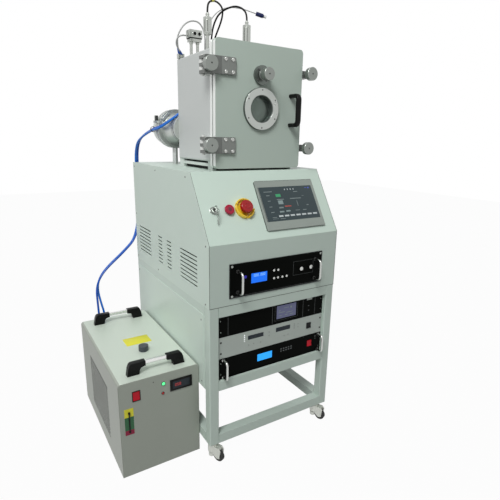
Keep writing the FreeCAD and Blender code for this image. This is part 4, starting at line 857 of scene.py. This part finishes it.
# Touch panel, on the slope: screen and its plain marks
touchPanel = {
    "left": 269.0, "right": 531.0, "low": 66.0, "high": 212.0, "face": 5.8, "bottom": 5.0, "lift": 0.15,
    "outer": (257.0, 543.0, 31.0, 239.0), "top": 6.0, "gasketRise": 1.6, "lineRise": 0.1,
    "pale": [(0.07, 0.22, 0.13, 0.15), (0.10, 0.16, 0.24, 0.26), (0.10, 0.15, 0.40, 0.42),
             (0.10, 0.15, 0.57, 0.59), (0.10, 0.16, 0.73, 0.75), (0.27, 0.40, 0.37, 0.39),
             (0.62, 0.70, 0.16, 0.18), (0.52, 0.73, 0.36, 0.385), (0.76, 0.80, 0.30, 0.31),
             (0.27, 0.35, 0.60, 0.64), (0.24, 0.33, 0.93, 0.945), (0.10, 0.18, 0.88, 0.895),
             (0.10, 0.20, 0.925, 0.935), (0.56, 0.64, 0.72, 0.735), (0.70, 0.77, 0.72, 0.74),
             (0.63, 0.64, 0.44, 0.60), (0.80, 0.84, 0.58, 0.60)],
    "bright": [(0.22 + 0.109 * i, 0.30 + 0.109 * i, 0.84, 0.885) for i in range(7)]
              + [(0.46 + 0.055 * i, 0.475 + 0.055 * i, 0.07, 0.11) for i in range(4)],
    "grey": [(0.28, 0.37, 0.41, 0.52), (0.26, 0.34, 0.72, 0.76), (0.38, 0.46, 0.71, 0.75)],
    "green": [(0.27, 0.36, 0.22, 0.30)],
    "red": [(0.38, 0.50, 0.575, 0.605)],
    "blue": [(0.86, 0.90, 0.06, 0.075), (0.92, 0.95, 0.05, 0.09)],
}


def makeTouchPanel(look):
    left, right, low, high = look["left"], look["right"], look["low"], look["high"]
    slabPiece("touchScreen", (left, low, look["bottom"]), (right, high, look["face"]), 0.15, "slateScreen",
              slot="display", space=slopeSpace)
    for group, finish in (("pale", "screenMark"), ("bright", "screenBright"), ("grey", "screenGrey"),
                          ("green", "screenGreen"), ("red", "screenRed"), ("blue", "screenBlue")):
        mesh = bmesh.new()
        for u1, u2, v1, v2 in look[group]:
            start = (left + u1 * (right - left), high - v2 * (high - low), look["face"])
            end = (left + u2 * (right - left), high - v1 * (high - low), look["face"] + look["lift"])
            addSlab(mesh, start, end)
        finishPiece("touch" + group.capitalize(), mesh, finish, slot="display", space=slopeSpace)
    mesh = bmesh.new()
    outerLeft, outerRight, outerLow, outerHigh = look["outer"]
    atFace = (look["top"], look["top"] + look["lineRise"])
    onSlope = (0.0, look["gasketRise"])
    for start, end, (base, rise) in (
        ((left - 3.2, low), (left - 1.2, high), atFace),
        ((outerLeft - 1.2, outerLow + 2), (outerLeft - 0.05, outerHigh - 2), onSlope),
        ((outerRight + 0.05, outerLow + 2), (outerRight + 1.2, outerHigh - 2), onSlope),
        ((outerLeft + 2, outerLow - 1.2), (outerRight - 2, outerLow - 0.05), atFace),
        ((outerLeft + 2, outerHigh + 0.05), (outerRight - 2, outerHigh + 1.2), atFace),
    ):
        addSlab(mesh, (*start, base), (*end, rise))
    finishPiece("touchGasket", mesh, "sealRubber", slot="seal_rubber", space=slopeSpace)


finishes.update({
    "screenBright": makeGlow("screenBright", (0.35, 0.38, 0.38), (0.20, 0.225, 0.23)),
    "screenGrey": makeGlow("screenGrey", (0.16, 0.2, 0.2), (0.10, 0.13, 0.13)),
    "screenBlue": makeGlow("screenBlue", (0.06, 0.08, 0.3), (0.04, 0.055, 0.22)),
})
makeTouchPanel(touchPanel)

# Key switch, push button and emergency stop
switches = {
    "key": (55.0, 132.0), "push": (116.0, 129.0), "stop": (183.0, 130.0),
    "barrel": 13.0, "barrelBore": 7.9, "barrelHeight": 11.0, "pushRing": 15.5, "pushBore": 8.3,
    "pushHeight": 2.0, "guardOuter": 40.0, "guardInner": 12.5, "guardBase": 3.0, "guardHeight": 14.0,
    "guardWall": 7.5, "guardArcs": [(36, 150), (158, 260), (282, 350)],
    "pushTop": 14.0, "pushShadeSpot": 8.0, "stopTop": 32.0, "stopSpot": 14.0,
}


# A stretch of ring wall with a rounded top
def addArcWall(mesh, middle, inner, outer, start, end, low, high, steps=18):
    band = outer - inner
    section = [(inner, low), (outer, low), (outer, high - band * 0.35), (outer - band * 0.3, high),
               (inner + band * 0.3, high), (inner, high - band * 0.35)]
    rows = []
    for index in range(steps + 1):
        angle = math.radians(start + (end - start) * index / steps)
        across, up = math.cos(angle), math.sin(angle)
        points = [(middle[0] + r * across, middle[1] + r * up, z) for r, z in section]
        rows.append([mesh.verts.new(point) for point in points])
    for first, second in zip(rows, rows[1:]):
        for i in range(len(section)):
            j = (i + 1) % len(section)
            mesh.faces.new((first[i], first[j], second[j], second[i]))
    mesh.faces.new(rows[0])
    mesh.faces.new(list(reversed(rows[-1])))


def makeSwitches(look):
    x, y = look["key"]
    radius, bore, height = look["barrel"], look["barrelBore"], look["barrelHeight"]
    profile = [(bore, 0), (radius + 2.5, 0), (radius + 2.5, 1.6), (radius + 1.2, 2.4), (radius, 2.6),
               (radius, height - 1.5), (radius - 1.2, height), (bore + 1.2, height), (bore, height - 0.8),
               (bore, 0)]
    barrel = turnedPiece("keyBarrel", profile, (x, y, 0), (0, 0, 1), "keySteel", slot="chrome",
                         space=slopeSpace)
    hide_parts("switch_bezels")
    turnedPiece("keyFace", [(6.9, 0), (6.9, 0.2), (0, 0.22)], (x, y, height), (0, 0, 1), "holeBlack",
                body="key", slot="black_plastic", space=slopeSpace)
    x, y = look["push"]
    radius, bore, height = look["pushRing"], look["pushBore"], look["pushHeight"]
    turnedPiece("pushRing", [(bore, 0), (radius, 0), (radius, height - 0.6), (radius - 0.6, height),
                             (bore, height), (bore, 0)],
                (x, y, 0), (0, 0, 1), "chrome", slot="chrome", space=slopeSpace)
    # painted shade: a darker disc on the button's centre, standing in for the shade of its recess
    turnedPiece("pushShadeSpot", [(look["pushShadeSpot"], 0), (look["pushShadeSpot"] - 0.6, 0.35), (0, 0.3)],
                (x, y, look["pushTop"]), (0, 0, 1), "raspberryShade", body="push_button", slot="red_plastic",
                space=slopeSpace)
    x, y = look["stop"]
    outer, inner, base = look["guardOuter"], look["guardInner"], look["guardBase"]
    mesh = bmesh.new()
    addTurned(mesh, [(inner, 0), (outer - 1, 0), (outer - 1, base * 0.6), (outer - 2.4, base),
                     (inner, base), (inner, 0)],
              (x, y, 0), (0, 0, 1), 64)
    for start, end in look["guardArcs"]:
        addArcWall(mesh, look["stop"], outer - look["guardWall"], outer, start, end, base * 0.5,
                   look["guardHeight"])
    finishPiece("stopGuard", mesh, "yellowPlastic", slot="yellow_plastic", space=slopeSpace, sharp=40.0)
    spot = look["stopSpot"]
    turnedPiece("stopSpot", [(spot, 0), (spot - 1.0, 0.5), (spot - 2.6, 0.5), (spot - 3.2, 1.5),
                             (spot - 4.8, 1.5), (spot - 5.6, 0.4), (0, 0.3)], (x, y, look["stopTop"]),
                (0, 0, 1), "redPlastic", body="estop_button", slot="red_plastic", space=slopeSpace)


finishes["raspberryShade"] = makeFinish("raspberryShade", (0.16, 0.01, 0.03), 0.35, spread=0.1)
makeSwitches(switches)
print("console made")

# Chamber front: bracket pads and screws, viewport screws and gasket, shutter boss screws
chamberFront = {
    "hinges": (1232.0, 1510.0), "plateFace": 149.0, "padArea": (131.0, 189.0, 29.0), "padThick": 0.7,
    "screwX": (146.0, 176.0), "screwHalf": 21.0, "screwRadius": 6.3, "screwHeight": 5.0,
    "view": (304.0, 1369.0), "viewFace": 145.0, "viewScrews": 69.5, "viewScrewRadius": 3.0,
    "boss": (304.0, 1491.0), "bossFace": 147.0, "bossScrews": 26.0, "bossScrewRadius": 3.6,
}


def makeChamberFront(look):
    left, right, half = look["padArea"]
    face, thick = look["plateFace"], look["padThick"]
    pads = bmesh.new()
    screws = bmesh.new()
    for z in look["hinges"]:
        addSlab(pads, (left, face - thick, z - half), (right, face, z + half), 0.6)
        for x in look["screwX"]:
            for side in (-1, 1):
                place = (x, face - thick, z + side * look["screwHalf"])
                addSocketScrew(screws, place, (0, -1, 0), look["screwRadius"], look["screwHeight"] - thick)
    finishPiece("hingePads", pads, "padSteel", body="door", slot="dark_steel")
    finishPiece("hingeScrews", screws, "steel", body="door", slot="steel")
    screws = bmesh.new()
    x, z = look["view"]
    for index in range(6):
        angle = math.radians(30 + 60 * index)
        reach = look["viewScrews"]
        place = (x + reach * math.cos(angle), look["viewFace"], z + reach * math.sin(angle))
        addTurned(screws, [(look["viewScrewRadius"], 0), (look["viewScrewRadius"], 0.25), (0, 0.3)], place,
                  (0, -1, 0), 16)
    x, z = look["boss"]
    for index in range(4):
        angle = math.radians(45 + 90 * index)
        reach = look["bossScrews"]
        place = (x + reach * math.cos(angle), look["bossFace"], z + reach * math.sin(angle))
        addSocketScrew(screws, place, (0, -1, 0), look["bossScrewRadius"], 2.5)
    finishPiece("viewScrews", screws, "screwDark", body="door", slot="dark_steel")
    x, z = look["view"]
    turnedPiece("viewGasket", [(50.2, 0), (50.2, 22), (48.2, 22), (48.2, 1.2), (49.2, 0), (50.2, 0)],
                (x, look["viewFace"] + 1.5, z), (0, 1, 0), "boreDark", steps=72, body="door",
                slot="seal_rubber")


finishes["boreDark"] = makeFinish("boreDark", (0.10, 0.12, 0.11), 0.4, metallic=0.4)
finishes["padSteel"] = makeFinish("padSteel", (0.22, 0.235, 0.22), 0.4, metallic=0.5, spread=0.1,
                                  lines={"Stretch": (900, 900, 15), "Strength": 0.25})
makeChamberFront(chamberFront)

# Painted shadow: a black block filling the gap below the chamber, where shade falls
underChamberShadow = {"low": (136.0, 203.0, 1138.2), "high": (472.0, 498.0, 1169.8), "edge": 0.6}
slabPiece("underChamberShadow", underChamberShadow["low"], underChamberShadow["high"], underChamberShadow["edge"], "holeBlack",
          slot="black_plastic")

# Black seal on the pump's side port
portSeal = {
    "place": (165, 585, 1238),
    "profile": [(12.5, 0), (13.5, 1.2), (22, 1.2), (22.7, 0.5), (22.7, -10.2), (22, -10.6)],
}
turnedPiece("portSeal", portSeal["profile"], portSeal["place"], (0, -1, 0), "blackPlastic",
            slot="black_plastic")

# Tie round the two hoses
hoseTie = {"place": (46.0, 648.0, 1292.5), "along": (-0.06, 0.98, -0.19), "radius": 12.4, "width": 6.0,
           "wall": 1.6}


def makeHoseTie(look):
    radius, width, bore = look["radius"], look["width"], look["radius"] - look["wall"]
    profile = [(bore, 0), (radius, 0.4), (radius, width - 0.4), (bore, width), (bore, 0)]
    turnedPiece("hoseTie", profile, look["place"], look["along"], "cableBlack", slot="cable_black")


makeHoseTie(hoseTie)
print("chamber front made")

# Chiller: label, lamps, switch frame, controller, level gauge, grille, screws and handles
chiller = {
    "left": -322.0, "front": 90.6, "top": 396.0,
    "label": (-205.0, -96.0, 371.0, 445.0),
    "rocker": (-269.0, -244.0, 316.0, 352.0), "frame": 3.0, "frameOut": 1.6,
    "screen": (-120.0, -39.0, 316.0, 354.0), "screenFrame": 5.0, "screenOut": 3.0,
    "digits": {"text": "258", "left": -105.0, "low": 330.0, "height": 10.0, "width": 5.0, "pitch": 9.0,
               "gapAfter": 9},
    "lamps": [((-151.0, 353.0), "greenLamp", 8.0), ((-154.0, 313.0), "redLamp", 6.0)],
    "level": (-304.0, -270.0, 180.0, 290.0), "levelGlow": (0.18, 0.68), "tube": 5.0,
    "grille": (258.0, 560.0, 65.0, 300.0), "cell": 10.0, "hole": 4.2, "holeDepth": 0.15,
    "screws": [(683, 363), (696, 29), (104, 366), (104, 191), (126, 8), (273, 12), (648, 8)],
    "frontScrew": (-190, 370),
    "handles": (140.0, 663.0), "handleLeft": -275.0, "handleRight": -47.0, "handleRise": 49.0,
    "handleHalf": 12.0, "gripLeft": -203.0, "gripRight": -119.0,
}


# A sheet with rows of round holes, each row set off by half a cell
def makeGrille(look):
    near, far, low, high = look["grille"]
    cell, hole, depth = look["cell"], look["hole"], look["holeDepth"]
    face = look["left"]
    mesh = bmesh.new()
    rows = int((high - low) / cell)
    count = int((far - near) / cell)
    for row in range(rows):
        z = low + (row + 0.5) * cell
        shift = cell / 2 if row % 2 else 0.0
        for column in range(count):
            y = near + (column + 0.5) * cell + shift
            if y + cell / 2 > far:
                break
            corners = []
            rim = []
            deep = []
            for index in range(8):
                angle = math.radians(45 * index)
                across, up = math.cos(angle), math.sin(angle)
                scale = cell / 2 / max(abs(across), abs(up))
                corners.append(mesh.verts.new((face, y + across * scale, z + up * scale)))
                rim.append(mesh.verts.new((face, y + across * hole, z + up * hole)))
                deep.append(mesh.verts.new((face + depth, y + across * hole, z + up * hole)))
            for i in range(8):
                j = (i + 1) % 8
                mesh.faces.new((corners[i], corners[j], rim[j], rim[i]))
                mesh.faces.new((rim[i], rim[j], deep[j], deep[i]))
    bmesh.ops.remove_doubles(mesh, verts=mesh.verts, dist=0.01)
    finishPiece("chillerGrille", mesh, "chillerPaint", slot="cabinet_paint")
    # painted shade: a black sheet close behind the holes, standing in for the shade inside the chiller
    slabPiece("chillerGrilleShade", (face + depth, near, low), (face + depth + 0.35, far, high), 0.0,
              "holeBlack", slot="black_plastic")
    mesh = bmesh.new()
    half = cell / 2
    for row in range(rows):
        z = low + row * cell
        if row % 2:
            addSlab(mesh, (face, near, z), (face + 0.5, near + half, z + cell))
        else:
            addSlab(mesh, (face, far - 2 - (far - 2 - near) % cell, z), (face + 0.5, far, z + cell))
    finishPiece("chillerGrilleEnds", mesh, "chillerPaint", slot="cabinet_paint")


def makeChillerFront(look):
    face = look["front"]
    left, right, low, high = look["rocker"]
    edge, out = look["frame"], look["frameOut"]
    mesh = bmesh.new()
    for start, end in (((left - edge, low - edge), (left - 0.3, high + edge)),
                       ((right + 0.3, low - edge), (right + edge, high + edge)),
                       ((left - 0.3, low - edge), (right + 0.3, low - 0.3)),
                       ((left - 0.3, high + 0.3), (right + 0.3, high + edge))):
        addSlab(mesh, (start[0], face - out, start[1]), (end[0], face, end[1]), 0.4)
    left, right, low, high = look["screen"]
    edge, out = look["screenFrame"], look["screenOut"]
    addSlab(mesh, (left - edge, face - out, low - edge), (right + edge, face, high + edge), 1.6)
    finishPiece("chillerFrames", mesh, "blackPlastic", slot="black_plastic")
    makeScreenSlab("chillerScreen", (left + 6, right - 6, low + 4, high - 4), face - out - 0.3, 0.5,
                   "lcdDark")
    mesh = bmesh.new()
    addDigits(mesh, look["digits"], face - out - 0.3)
    finishPiece("chillerDigits", mesh, "redDigit", slot="display")
    for (x, z), finish, radius in look["lamps"]:
        turnedPiece(finish, [(radius * 0.78, 0), (radius * 0.78, 2.6), (radius * 0.55, 4.2), (0, 5.0)],
                    (x, face, z), (0, -1, 0), finish, slot="display")
        turnedPiece(finish + "Bezel", [(radius * 0.8, 0), (radius, 0), (radius, 1.2), (radius * 0.8, 1.6)],
                    (x, face, z), (0, -1, 0), "blackPlastic", slot="black_plastic")
    left, right, low, high = look["level"]
    first, second = (low + (high - low) * share for share in look["levelGlow"])
    bands = ((low, first, "levelRed"), (first, second, "levelGreen"), (second, high, "labelYellow"))
    for number, (start, end, finish) in enumerate(bands, start=1):
        slabPiece(f"levelBand{number}", (left, face - 0.4, start), (right, face + 0.8, end), 0.0, finish,
                  slot="yellow_plastic")
    mesh = bmesh.new()
    middle = (left + right) / 2
    radius = look["tube"] / 2
    addTurned(mesh, [(0, 0), (radius, 0), (radius, 2), (radius * 1.5, 2.2), (radius * 1.5, 5),
                     (radius * 0.9, 6), (radius * 0.9, high - low - 34), (radius * 1.5, high - low - 33),
                     (radius * 1.5, high - low - 24), (0, high - low - 23)],
              (middle, face - 2.4, low + 10), (0, 0, 1), 20)
    finishPiece("levelTube", mesh, "blackPlastic", slot="grey_plastic")
    mesh = bmesh.new()
    x, z = look["frontScrew"]
    addDomeScrew(mesh, (x, face, z), (0, -1, 0), 2.4, 0.9)
    for y, z in look["screws"]:
        addDomeScrew(mesh, (look["left"] + 0.02, y, z), (-1, 0, 0), 2.8, 0.02)
    finishPiece("chillerScrews", mesh, "screwDark", slot="dark_steel")
    left, right, front, back = look["label"]
    slabPiece("chillerLabel", (left, front, look["top"]), (right, back, look["top"] + 0.25), 0.1,
              "labelYellow", slot="yellow_plastic")


def makeChillerHandles(look):
    top = look["top"] + look["handleRise"]
    blocks = bmesh.new()
    bars = bmesh.new()
    for y in look["handles"]:
        for foot, inner, sign in ((look["handleLeft"], look["gripLeft"], 1),
                                  (look["handleRight"], look["gripRight"], -1)):
            outline = [(foot, look["top"]), (foot + sign * 5, top - 20), (foot + sign * 10, top - 6),
                       (foot + sign * 17, top), (inner, top), (inner, top - 20),
                       (inner - sign * 14, top - 20), (inner - sign * 20, top - 23),
                       (inner - sign * 25, top - 30), (inner - sign * 26, look["top"])]
            if sign < 0:
                outline.reverse()
            addPrism(blocks, outline, y - look["handleHalf"], y + look["handleHalf"], "y", 1.8)
        addSlab(bars, (look["gripLeft"] - 8, y - 6.5, top - 18), (look["gripRight"] + 8, y + 6.5, top - 2),
                5.0, 4)
    piece = finishPiece("handleBlocks", blocks, "blackPlastic", slot="black_plastic")
    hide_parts("chiller_handles")
    finishPiece("handleBars", bars, "satinBar", slot="chrome", sharp=50.0)


finishes.update({
    "levelRed": makeFinish("levelRed", (0.28, 0.012, 0.05), 0.4, edge=0.0003, Specular_IOR_Level=0.3),
    "levelGreen": makeFinish("levelGreen", (0.035, 0.14, 0.06), 0.4, edge=0.0003, Specular_IOR_Level=0.3),
    "satinBar": makeFinish("satinBar", (0.80, 0.80, 0.79), 0.22, metallic=0.95, spread=0.05,
                           lines={"Stretch": (15, 700, 700), "Strength": 0.1}),
})
makeGrille(chiller)
makeChillerFront(chiller)
makeChillerHandles(chiller)
print("chiller made")

# Roof of the chamber: gauges, air valve, glands and tube sleeves
roof = {
    "top": 1574.0, "gaugeY": 300.0, "gauges": [(150.0, 1640.0, 1696.0), (323.0, 1628.0, 1692.0)],
    "gaugeRadius": 16.0, "stem": 6.6, "connector": 7.8, "connectorHeight": 16.0,
    "valve": ((122.0, 402.0, 1640.0), (178.0, 438.0, 1672.0)), "ports": (22.0, 42.0), "portRadius": 6.5,
    "legs": (136.0, 164.0), "legRadius": 6.0, "band": 12.0,
    "glands": [(260.0, 471.0), (243.0, 461.0), (205.0, 428.0), (213.0, 452.0)],
    "sleeves": [((116, 482, 1597), (99, 465, 1607)), ((108, 486, 1606), (93, 465, 1640))],
    "sleeveBlock": ((110.0, 488.0, 1574.0), (136.0, 508.0, 1594.0)), "sleeveRadius": 4.4,
    "sleeveLength": 24.0,
}


def makeGauges(look):
    mesh = bmesh.new()
    lines = bmesh.new()
    for x, low, high in look["gauges"]:
        radius, stem, plug, y = look["gaugeRadius"], look["stem"], look["connector"], look["gaugeY"]
        base = low - look["top"]
        cap = high - look["top"]
        addTurned(mesh, [
            (0, 0), (15, 0), (15, 7), (stem + 1.5, 8), (stem, 10), (stem, base - 7), (stem + 2.4, base - 7),
            (stem + 2.4, base - 3), (radius - 1.6, base - 3), (radius - 1.6, base), (radius, base + 0.8),
            (radius, cap - 12), (radius - 0.9, cap - 11.4), (radius - 0.9, cap - 10.4), (radius, cap - 9.8),
            (radius, cap - 1), (radius - 1, cap), (plug, cap), (plug, cap + 3), (plug - 1.6, cap + 3.6),
            (plug - 1.6, cap + 7), (plug - 0.4, cap + 7.4), (plug - 0.4, cap + 12), (plug - 2.6, cap + 13),
            (plug - 2.8, cap + look["connectorHeight"]), (0, cap + look["connectorHeight"]),
        ], (x, y, look["top"]), (0, 0, 1), 56)
        # painted reflection: two black bands down each gauge body, standing in for dark reflections on the
        # round steel
        for angle in (205, 246):
            turn = math.radians(angle)
            middle = (x + (radius - 0.35) * math.cos(turn), y + (radius - 0.35) * math.sin(turn))
            addSlab(lines, (middle[0] - 0.9, middle[1] - 0.9, low + 4),
                    (middle[0] + 0.9, middle[1] + 0.9, high - 13), 0.2)
    piece = finishPiece("gauges", mesh, "gaugeSteel", slot="steel")
    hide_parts("top_fittings")
    finishPiece("gaugeReflectionBands", lines, "holeBlack", slot="black_plastic")


def makeAirValve(look):
    low, high = look["valve"]
    middle = (low[1] + high[1]) / 2
    mesh = bmesh.new()
    addSlab(mesh, (low[0], low[1], low[2] + 3), high, 2.6, 3)
    addSlab(mesh, (low[0] + 4, low[1] + 2, low[2] - look["band"]), (high[0] - 4, high[1] - 2, low[2]), 1.2)
    for x in look["legs"]:
        radius, rise = look["legRadius"], low[2] - look["band"] - look["top"]
        addTurned(mesh, [(0, 0), (radius + 2.5, 0), (radius + 2.5, 5), (radius, 6), (radius, rise - 8),
                         (radius + 1.5, rise - 7), (radius + 1.5, rise), (0, rise)],
                         (x, middle, look["top"]), (0, 0, 1), 32)
    for x, y in look["glands"]:
        addTurned(mesh, [(0, 0), (6.5, 0), (6.5, 5), (5.4, 6), (5.4, 10), (0, 10)], (x, y, look["top"]),
                  (0, 0, 1), 6)
    addSlab(mesh, *look["sleeveBlock"], 1.0)
    height = (low[2] + 3 + high[2]) / 2
    for offset in look["ports"]:
        addTurned(mesh, [(look["portRadius"], 0), (look["portRadius"] + 1.6, 0),
                         (look["portRadius"] + 1.6, 1.6), (look["portRadius"], 1.6),
                         (look["portRadius"], 0)], (low[0] + offset, low[1], height), (0, -1, 0), 28)
    finishPiece("airValve", mesh, "gaugeSteel", slot="steel")
    mesh = bmesh.new()
    for offset in look["ports"]:
        addTurned(mesh, [(look["portRadius"], 0), (look["portRadius"], 1.0), (3.2, 1.0), (2.8, 0.4),
                         (0, 0.4)],
                  (low[0] + offset, low[1], height), (0, -1, 0), 28)
    addSlab(mesh, (low[0] + 1.4, low[1] + 1.4, low[2]), (high[0] - 1.4, high[1] - 1.4, low[2] + 3))
    finishPiece("airValvePorts", mesh, "blackPlastic", slot="black_plastic")
    mesh = bmesh.new()
    for end, before in look["sleeves"]:
        along = Vector(end) - Vector(before)
        addTurned(mesh, [(0, -9), (3.5, -9), (look["sleeveRadius"], -8),
                         (look["sleeveRadius"], look["sleeveLength"] - 1), (0, look["sleeveLength"])], end,
                         along.normalized(), 24)
    finishPiece("airSleeves", mesh, "sleeveBlue", slot="hose_blue")


finishes.update({
    "gaugeSteel": makeFinish("gaugeSteel", (0.44, 0.46, 0.43), 0.24, metallic=1.0, spread=0.1, bump=0.03,
                             paintedEdgeHighlight=0.8, lines={"Stretch": (700, 700, 15), "Strength": 0.35}),
    "sleeveBlue": makeFinish("sleeveBlue", (0.005, 0.10, 0.50), 0.3, spread=0.1, Coat_Weight=0.2),
})
makeGauges(roof)
makeAirValve(roof)

# Door handle: a bent bar with rounded section, its two feet on the door
doorHandle = {
    "x": 449.0, "low": 1306.0, "high": 1433.0, "front": 98.0, "door": 157.0, "depth": 16.0, "width": 22.0,
    "corner": 25.0,
}


def makeDoorHandle(look):
    low, high, front, corner = look["low"], look["high"], look["front"], look["corner"]
    half = look["depth"] / 2
    radius = corner - half
    line = [(look["door"], low + half, 0.0)]
    for start, middle in ((0, (front + corner, low + corner)), (90, (front + corner, high - corner))):
        for step in range(9):
            angle = math.radians(start + 90 * step / 8)
            across, up = -math.sin(angle), -math.cos(angle)
            line.append((middle[0] + radius * across, middle[1] + radius * up, angle))
    line.append((look["door"], high - half, math.pi))
    mesh = bmesh.new()
    rows = []
    for y, z, angle in line:
        outward = (-math.sin(angle), -math.cos(angle))
        row = []
        for step in range(24):
            turn = 2 * math.pi * step / 24
            across, up = math.cos(turn), math.sin(turn)
            squash = (abs(across) ** 3.2 + abs(up) ** 3.2) ** (-1 / 3.2)
            side, deep = squash * across * look["width"] / 2, squash * up * half
            row.append(mesh.verts.new((look["x"] + side, y + outward[0] * deep, z + outward[1] * deep)))
        rows.append(row)
    for first, second in zip(rows, rows[1:]):
        for i in range(24):
            mesh.faces.new((first[i], first[(i + 1) % 24], second[(i + 1) % 24], second[i]))
    mesh.faces.new(rows[0])
    mesh.faces.new(list(reversed(rows[-1])))
    piece = finishPiece("doorHandle", mesh, "blackPlastic", body="door", slot="black_plastic", sharp=50.0)
    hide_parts("door_handle")


makeDoorHandle(doorHandle)

# Knobs: dark dimples, and the shutter's sleeve
knobMarks = {
    "knobs": [("hinge_knob_lower", 80.0, 126.0, 1232.0), ("hinge_knob_upper", 80.0, 126.0, 1510.0),
              ("clamp_knob_lower", 519.0, 112.0, 1224.0), ("clamp_knob_upper", 519.0, 112.0, 1511.0)],
    "radius": 2.9, "sleeve": [(9.2, 0), (19.0, 0), (19.0, 3), (18.0, 3.6), (18.0, 16), (19.0, 16.6),
                              (19.0, 22), (9.2, 22), (9.2, 0)],
    "shutter": (304.0, 122.0, 1491.0), "shutterFace": 98.0,
}


def makeKnobMarks(look):
    spots = look["knobs"] + [("shutter", look["shutter"][0], look["shutterFace"], look["shutter"][2])]
    for body, x, face, z in spots:
        turnedPiece(body + "Dimple", [(look["radius"], 0), (0, 0.3)], (x, face + 0.9, z), (0, -1, 0),
                    "holeBlack", steps=20, body=body, slot="black_plastic")
    turnedPiece("shutterSleeve", look["sleeve"], look["shutter"], (0, 1, 0), "turned", body="shutter",
                slot="steel")


makeKnobMarks(knobMarks)
print("roof, handle and knobs made")


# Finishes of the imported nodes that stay
nodeFinish = {
    "frame": "cabinetPaint", "console_shell": "consolePaint", "cabinet_panels": "panelPaint",
    "rf_generator": "blackPanel", "power_meter": "blackPanel", "flow_controller": "blackPanel",
    "match_controller": "greyPanel", "panel_handles": "handleSteel", "touch_panel": "silverBand",
    "switch_bezels": "yellowPlastic", "key": "keySteel", "push_button": "raspberryPlastic",
    "estop_button": "redPlastic", "chamber_body": "chamberPaint", "door_seal": "sealRubber",
    "door_brackets": "darkSteel", "chamber_brackets": "bracketPaint", "chamber_door": "doorPaint",
    "viewport_ring": "ringSteel", "viewport_glass": "viewGlass", "shutter": "turned",
    "door_handle": "blackPlastic", "shelf_rack": "steel", "vacuum_pump": "satinSteel",
    "top_fittings": "steel", "chiller_case": "chillerPaint", "chiller_rocker": "litRed",
    "flow_rocker": "litRed", "match_rocker": "blackPlastic", "filler_cap": "slatePlastic",
    "chiller_handles": "blackPlastic", "display_windows": "slateScreen", "sensor_plug": "navyPlastic",
}
for knob in ("hinge_knob_lower", "hinge_knob_upper", "clamp_knob_lower", "clamp_knob_upper"):
    nodeFinish[knob] = "turned"
for number in range(1, 7):
    nodeFinish[f"generator_button_{number}"] = "chrome"
for number in (1, 2):
    nodeFinish[f"generator_knob_{number}"] = "chrome"
for corner in ("front_left", "front_right", "rear_left", "rear_right"):
    nodeFinish[f"caster_{corner}"] = "castMetal"
    nodeFinish[f"wheel_{corner}"] = "tread"
for nodeName, finishName in nodeFinish.items():
    for place in cadNodes[nodeName].material_slots:
        place.link = "OBJECT"
        place.material = finishes[finishName]
print("packed nodes dressed:", len(nodeFinish))


# Studio: white floor, a soft key light from the front, the left and above, and a broad fill from the left
studio = {
    "floorColor": (0.28, 0.28, 0.275), "floorWhite": 0.97,
    "sky": {"base": 0.05, "left": 0.52, "top": 0.30, "back": 0.05, "front": 0.0},
    "key": {"place": (-2.07, -2.3, 4.3), "aim": (0.0, 0.0, 0.9), "size": 1.8, "power": 120.0},
}


def makeLamp(name, lamp):
    data = bpy.data.lights.new(name, "AREA")
    data.shape = "DISK"
    data.size = lamp["size"]
    data.energy = lamp["power"]
    light = bpy.data.objects.new(name, data)
    aim = (Vector(lamp["aim"]) - Vector(lamp["place"])).to_track_quat("-Z", "Y")
    light.matrix_world = Matrix.Translation(lamp["place"]) @ aim.to_matrix().to_4x4()
    scene.collection.objects.link(light)


# White for the camera, for shine and through glass; other rays see the studio's own light
def seenDirectly(tree):
    path = tree.nodes.new("ShaderNodeLightPath")
    seen = mathNode(tree, "ADD", path.outputs["Is Camera Ray"], path.outputs["Is Glossy Ray"])
    return mathNode(tree, "ADD", seen, path.outputs["Is Transmission Ray"], clamp=True)


def lobe(tree, part, sign, weight):
    toward = mathNode(tree, "MAXIMUM", mathNode(tree, "MULTIPLY", part, sign), 0.0)
    return mathNode(tree, "MULTIPLY", toward, weight)


def makeSky(look):
    world = bpy.data.worlds.new("studio")
    world.use_nodes = True
    scene.world = world
    tree = world.node_tree
    background = tree.nodes["Background"]
    background.inputs["Color"].default_value = (1, 1, 1, 1)
    parts = tree.nodes.new("ShaderNodeSeparateXYZ")
    tree.links.new(tree.nodes.new("ShaderNodeTexCoord").outputs["Generated"], parts.inputs[0])
    glow = look["base"]
    for axis, sign, weight in ((0, -1, look["left"]), (2, 1, look["top"]), (1, 1, look["back"]),
                               (1, -1, look["front"])):
        glow = mathNode(tree, "ADD", lobe(tree, parts.outputs[axis], sign, weight), glow)
    tree.links.new(mixInto(tree, "FLOAT", seenDirectly(tree), glow, 1.0), background.inputs["Strength"])


def makeFloor(look):
    mesh = bmesh.new()
    bmesh.ops.create_grid(mesh, x_segments=4, y_segments=4, size=9.0)
    data = bpy.data.meshes.new("floor")
    mesh.to_mesh(data)
    mesh.free()
    floor = bpy.data.objects.new("floor", data)
    scene.collection.objects.link(floor)
    material = bpy.data.materials.new("floorPaint")
    material.use_nodes = True
    tree = material.node_tree
    shader = tree.nodes["Principled BSDF"]
    shader.inputs["Base Color"].default_value = (*look["floorColor"], 1)
    shader.inputs["Roughness"].default_value = 0.9
    shader.inputs["Specular IOR Level"].default_value = 0.1
    white = tree.nodes.new("ShaderNodeEmission")
    blend = tree.nodes.new("ShaderNodeMixShader")
    tree.links.new(mathNode(tree, "MULTIPLY", seenDirectly(tree), look["floorWhite"]), blend.inputs[0])
    tree.links.new(shader.outputs[0], blend.inputs[1])
    tree.links.new(white.outputs[0], blend.inputs[2])
    tree.links.new(blend.outputs[0], tree.nodes["Material Output"].inputs["Surface"])
    data.materials.append(material)


makeLamp("keyLamp", studio["key"])
makeSky(studio["sky"])
makeFloor(studio)
scene.view_settings.view_transform = "Standard"
print("studio lit")
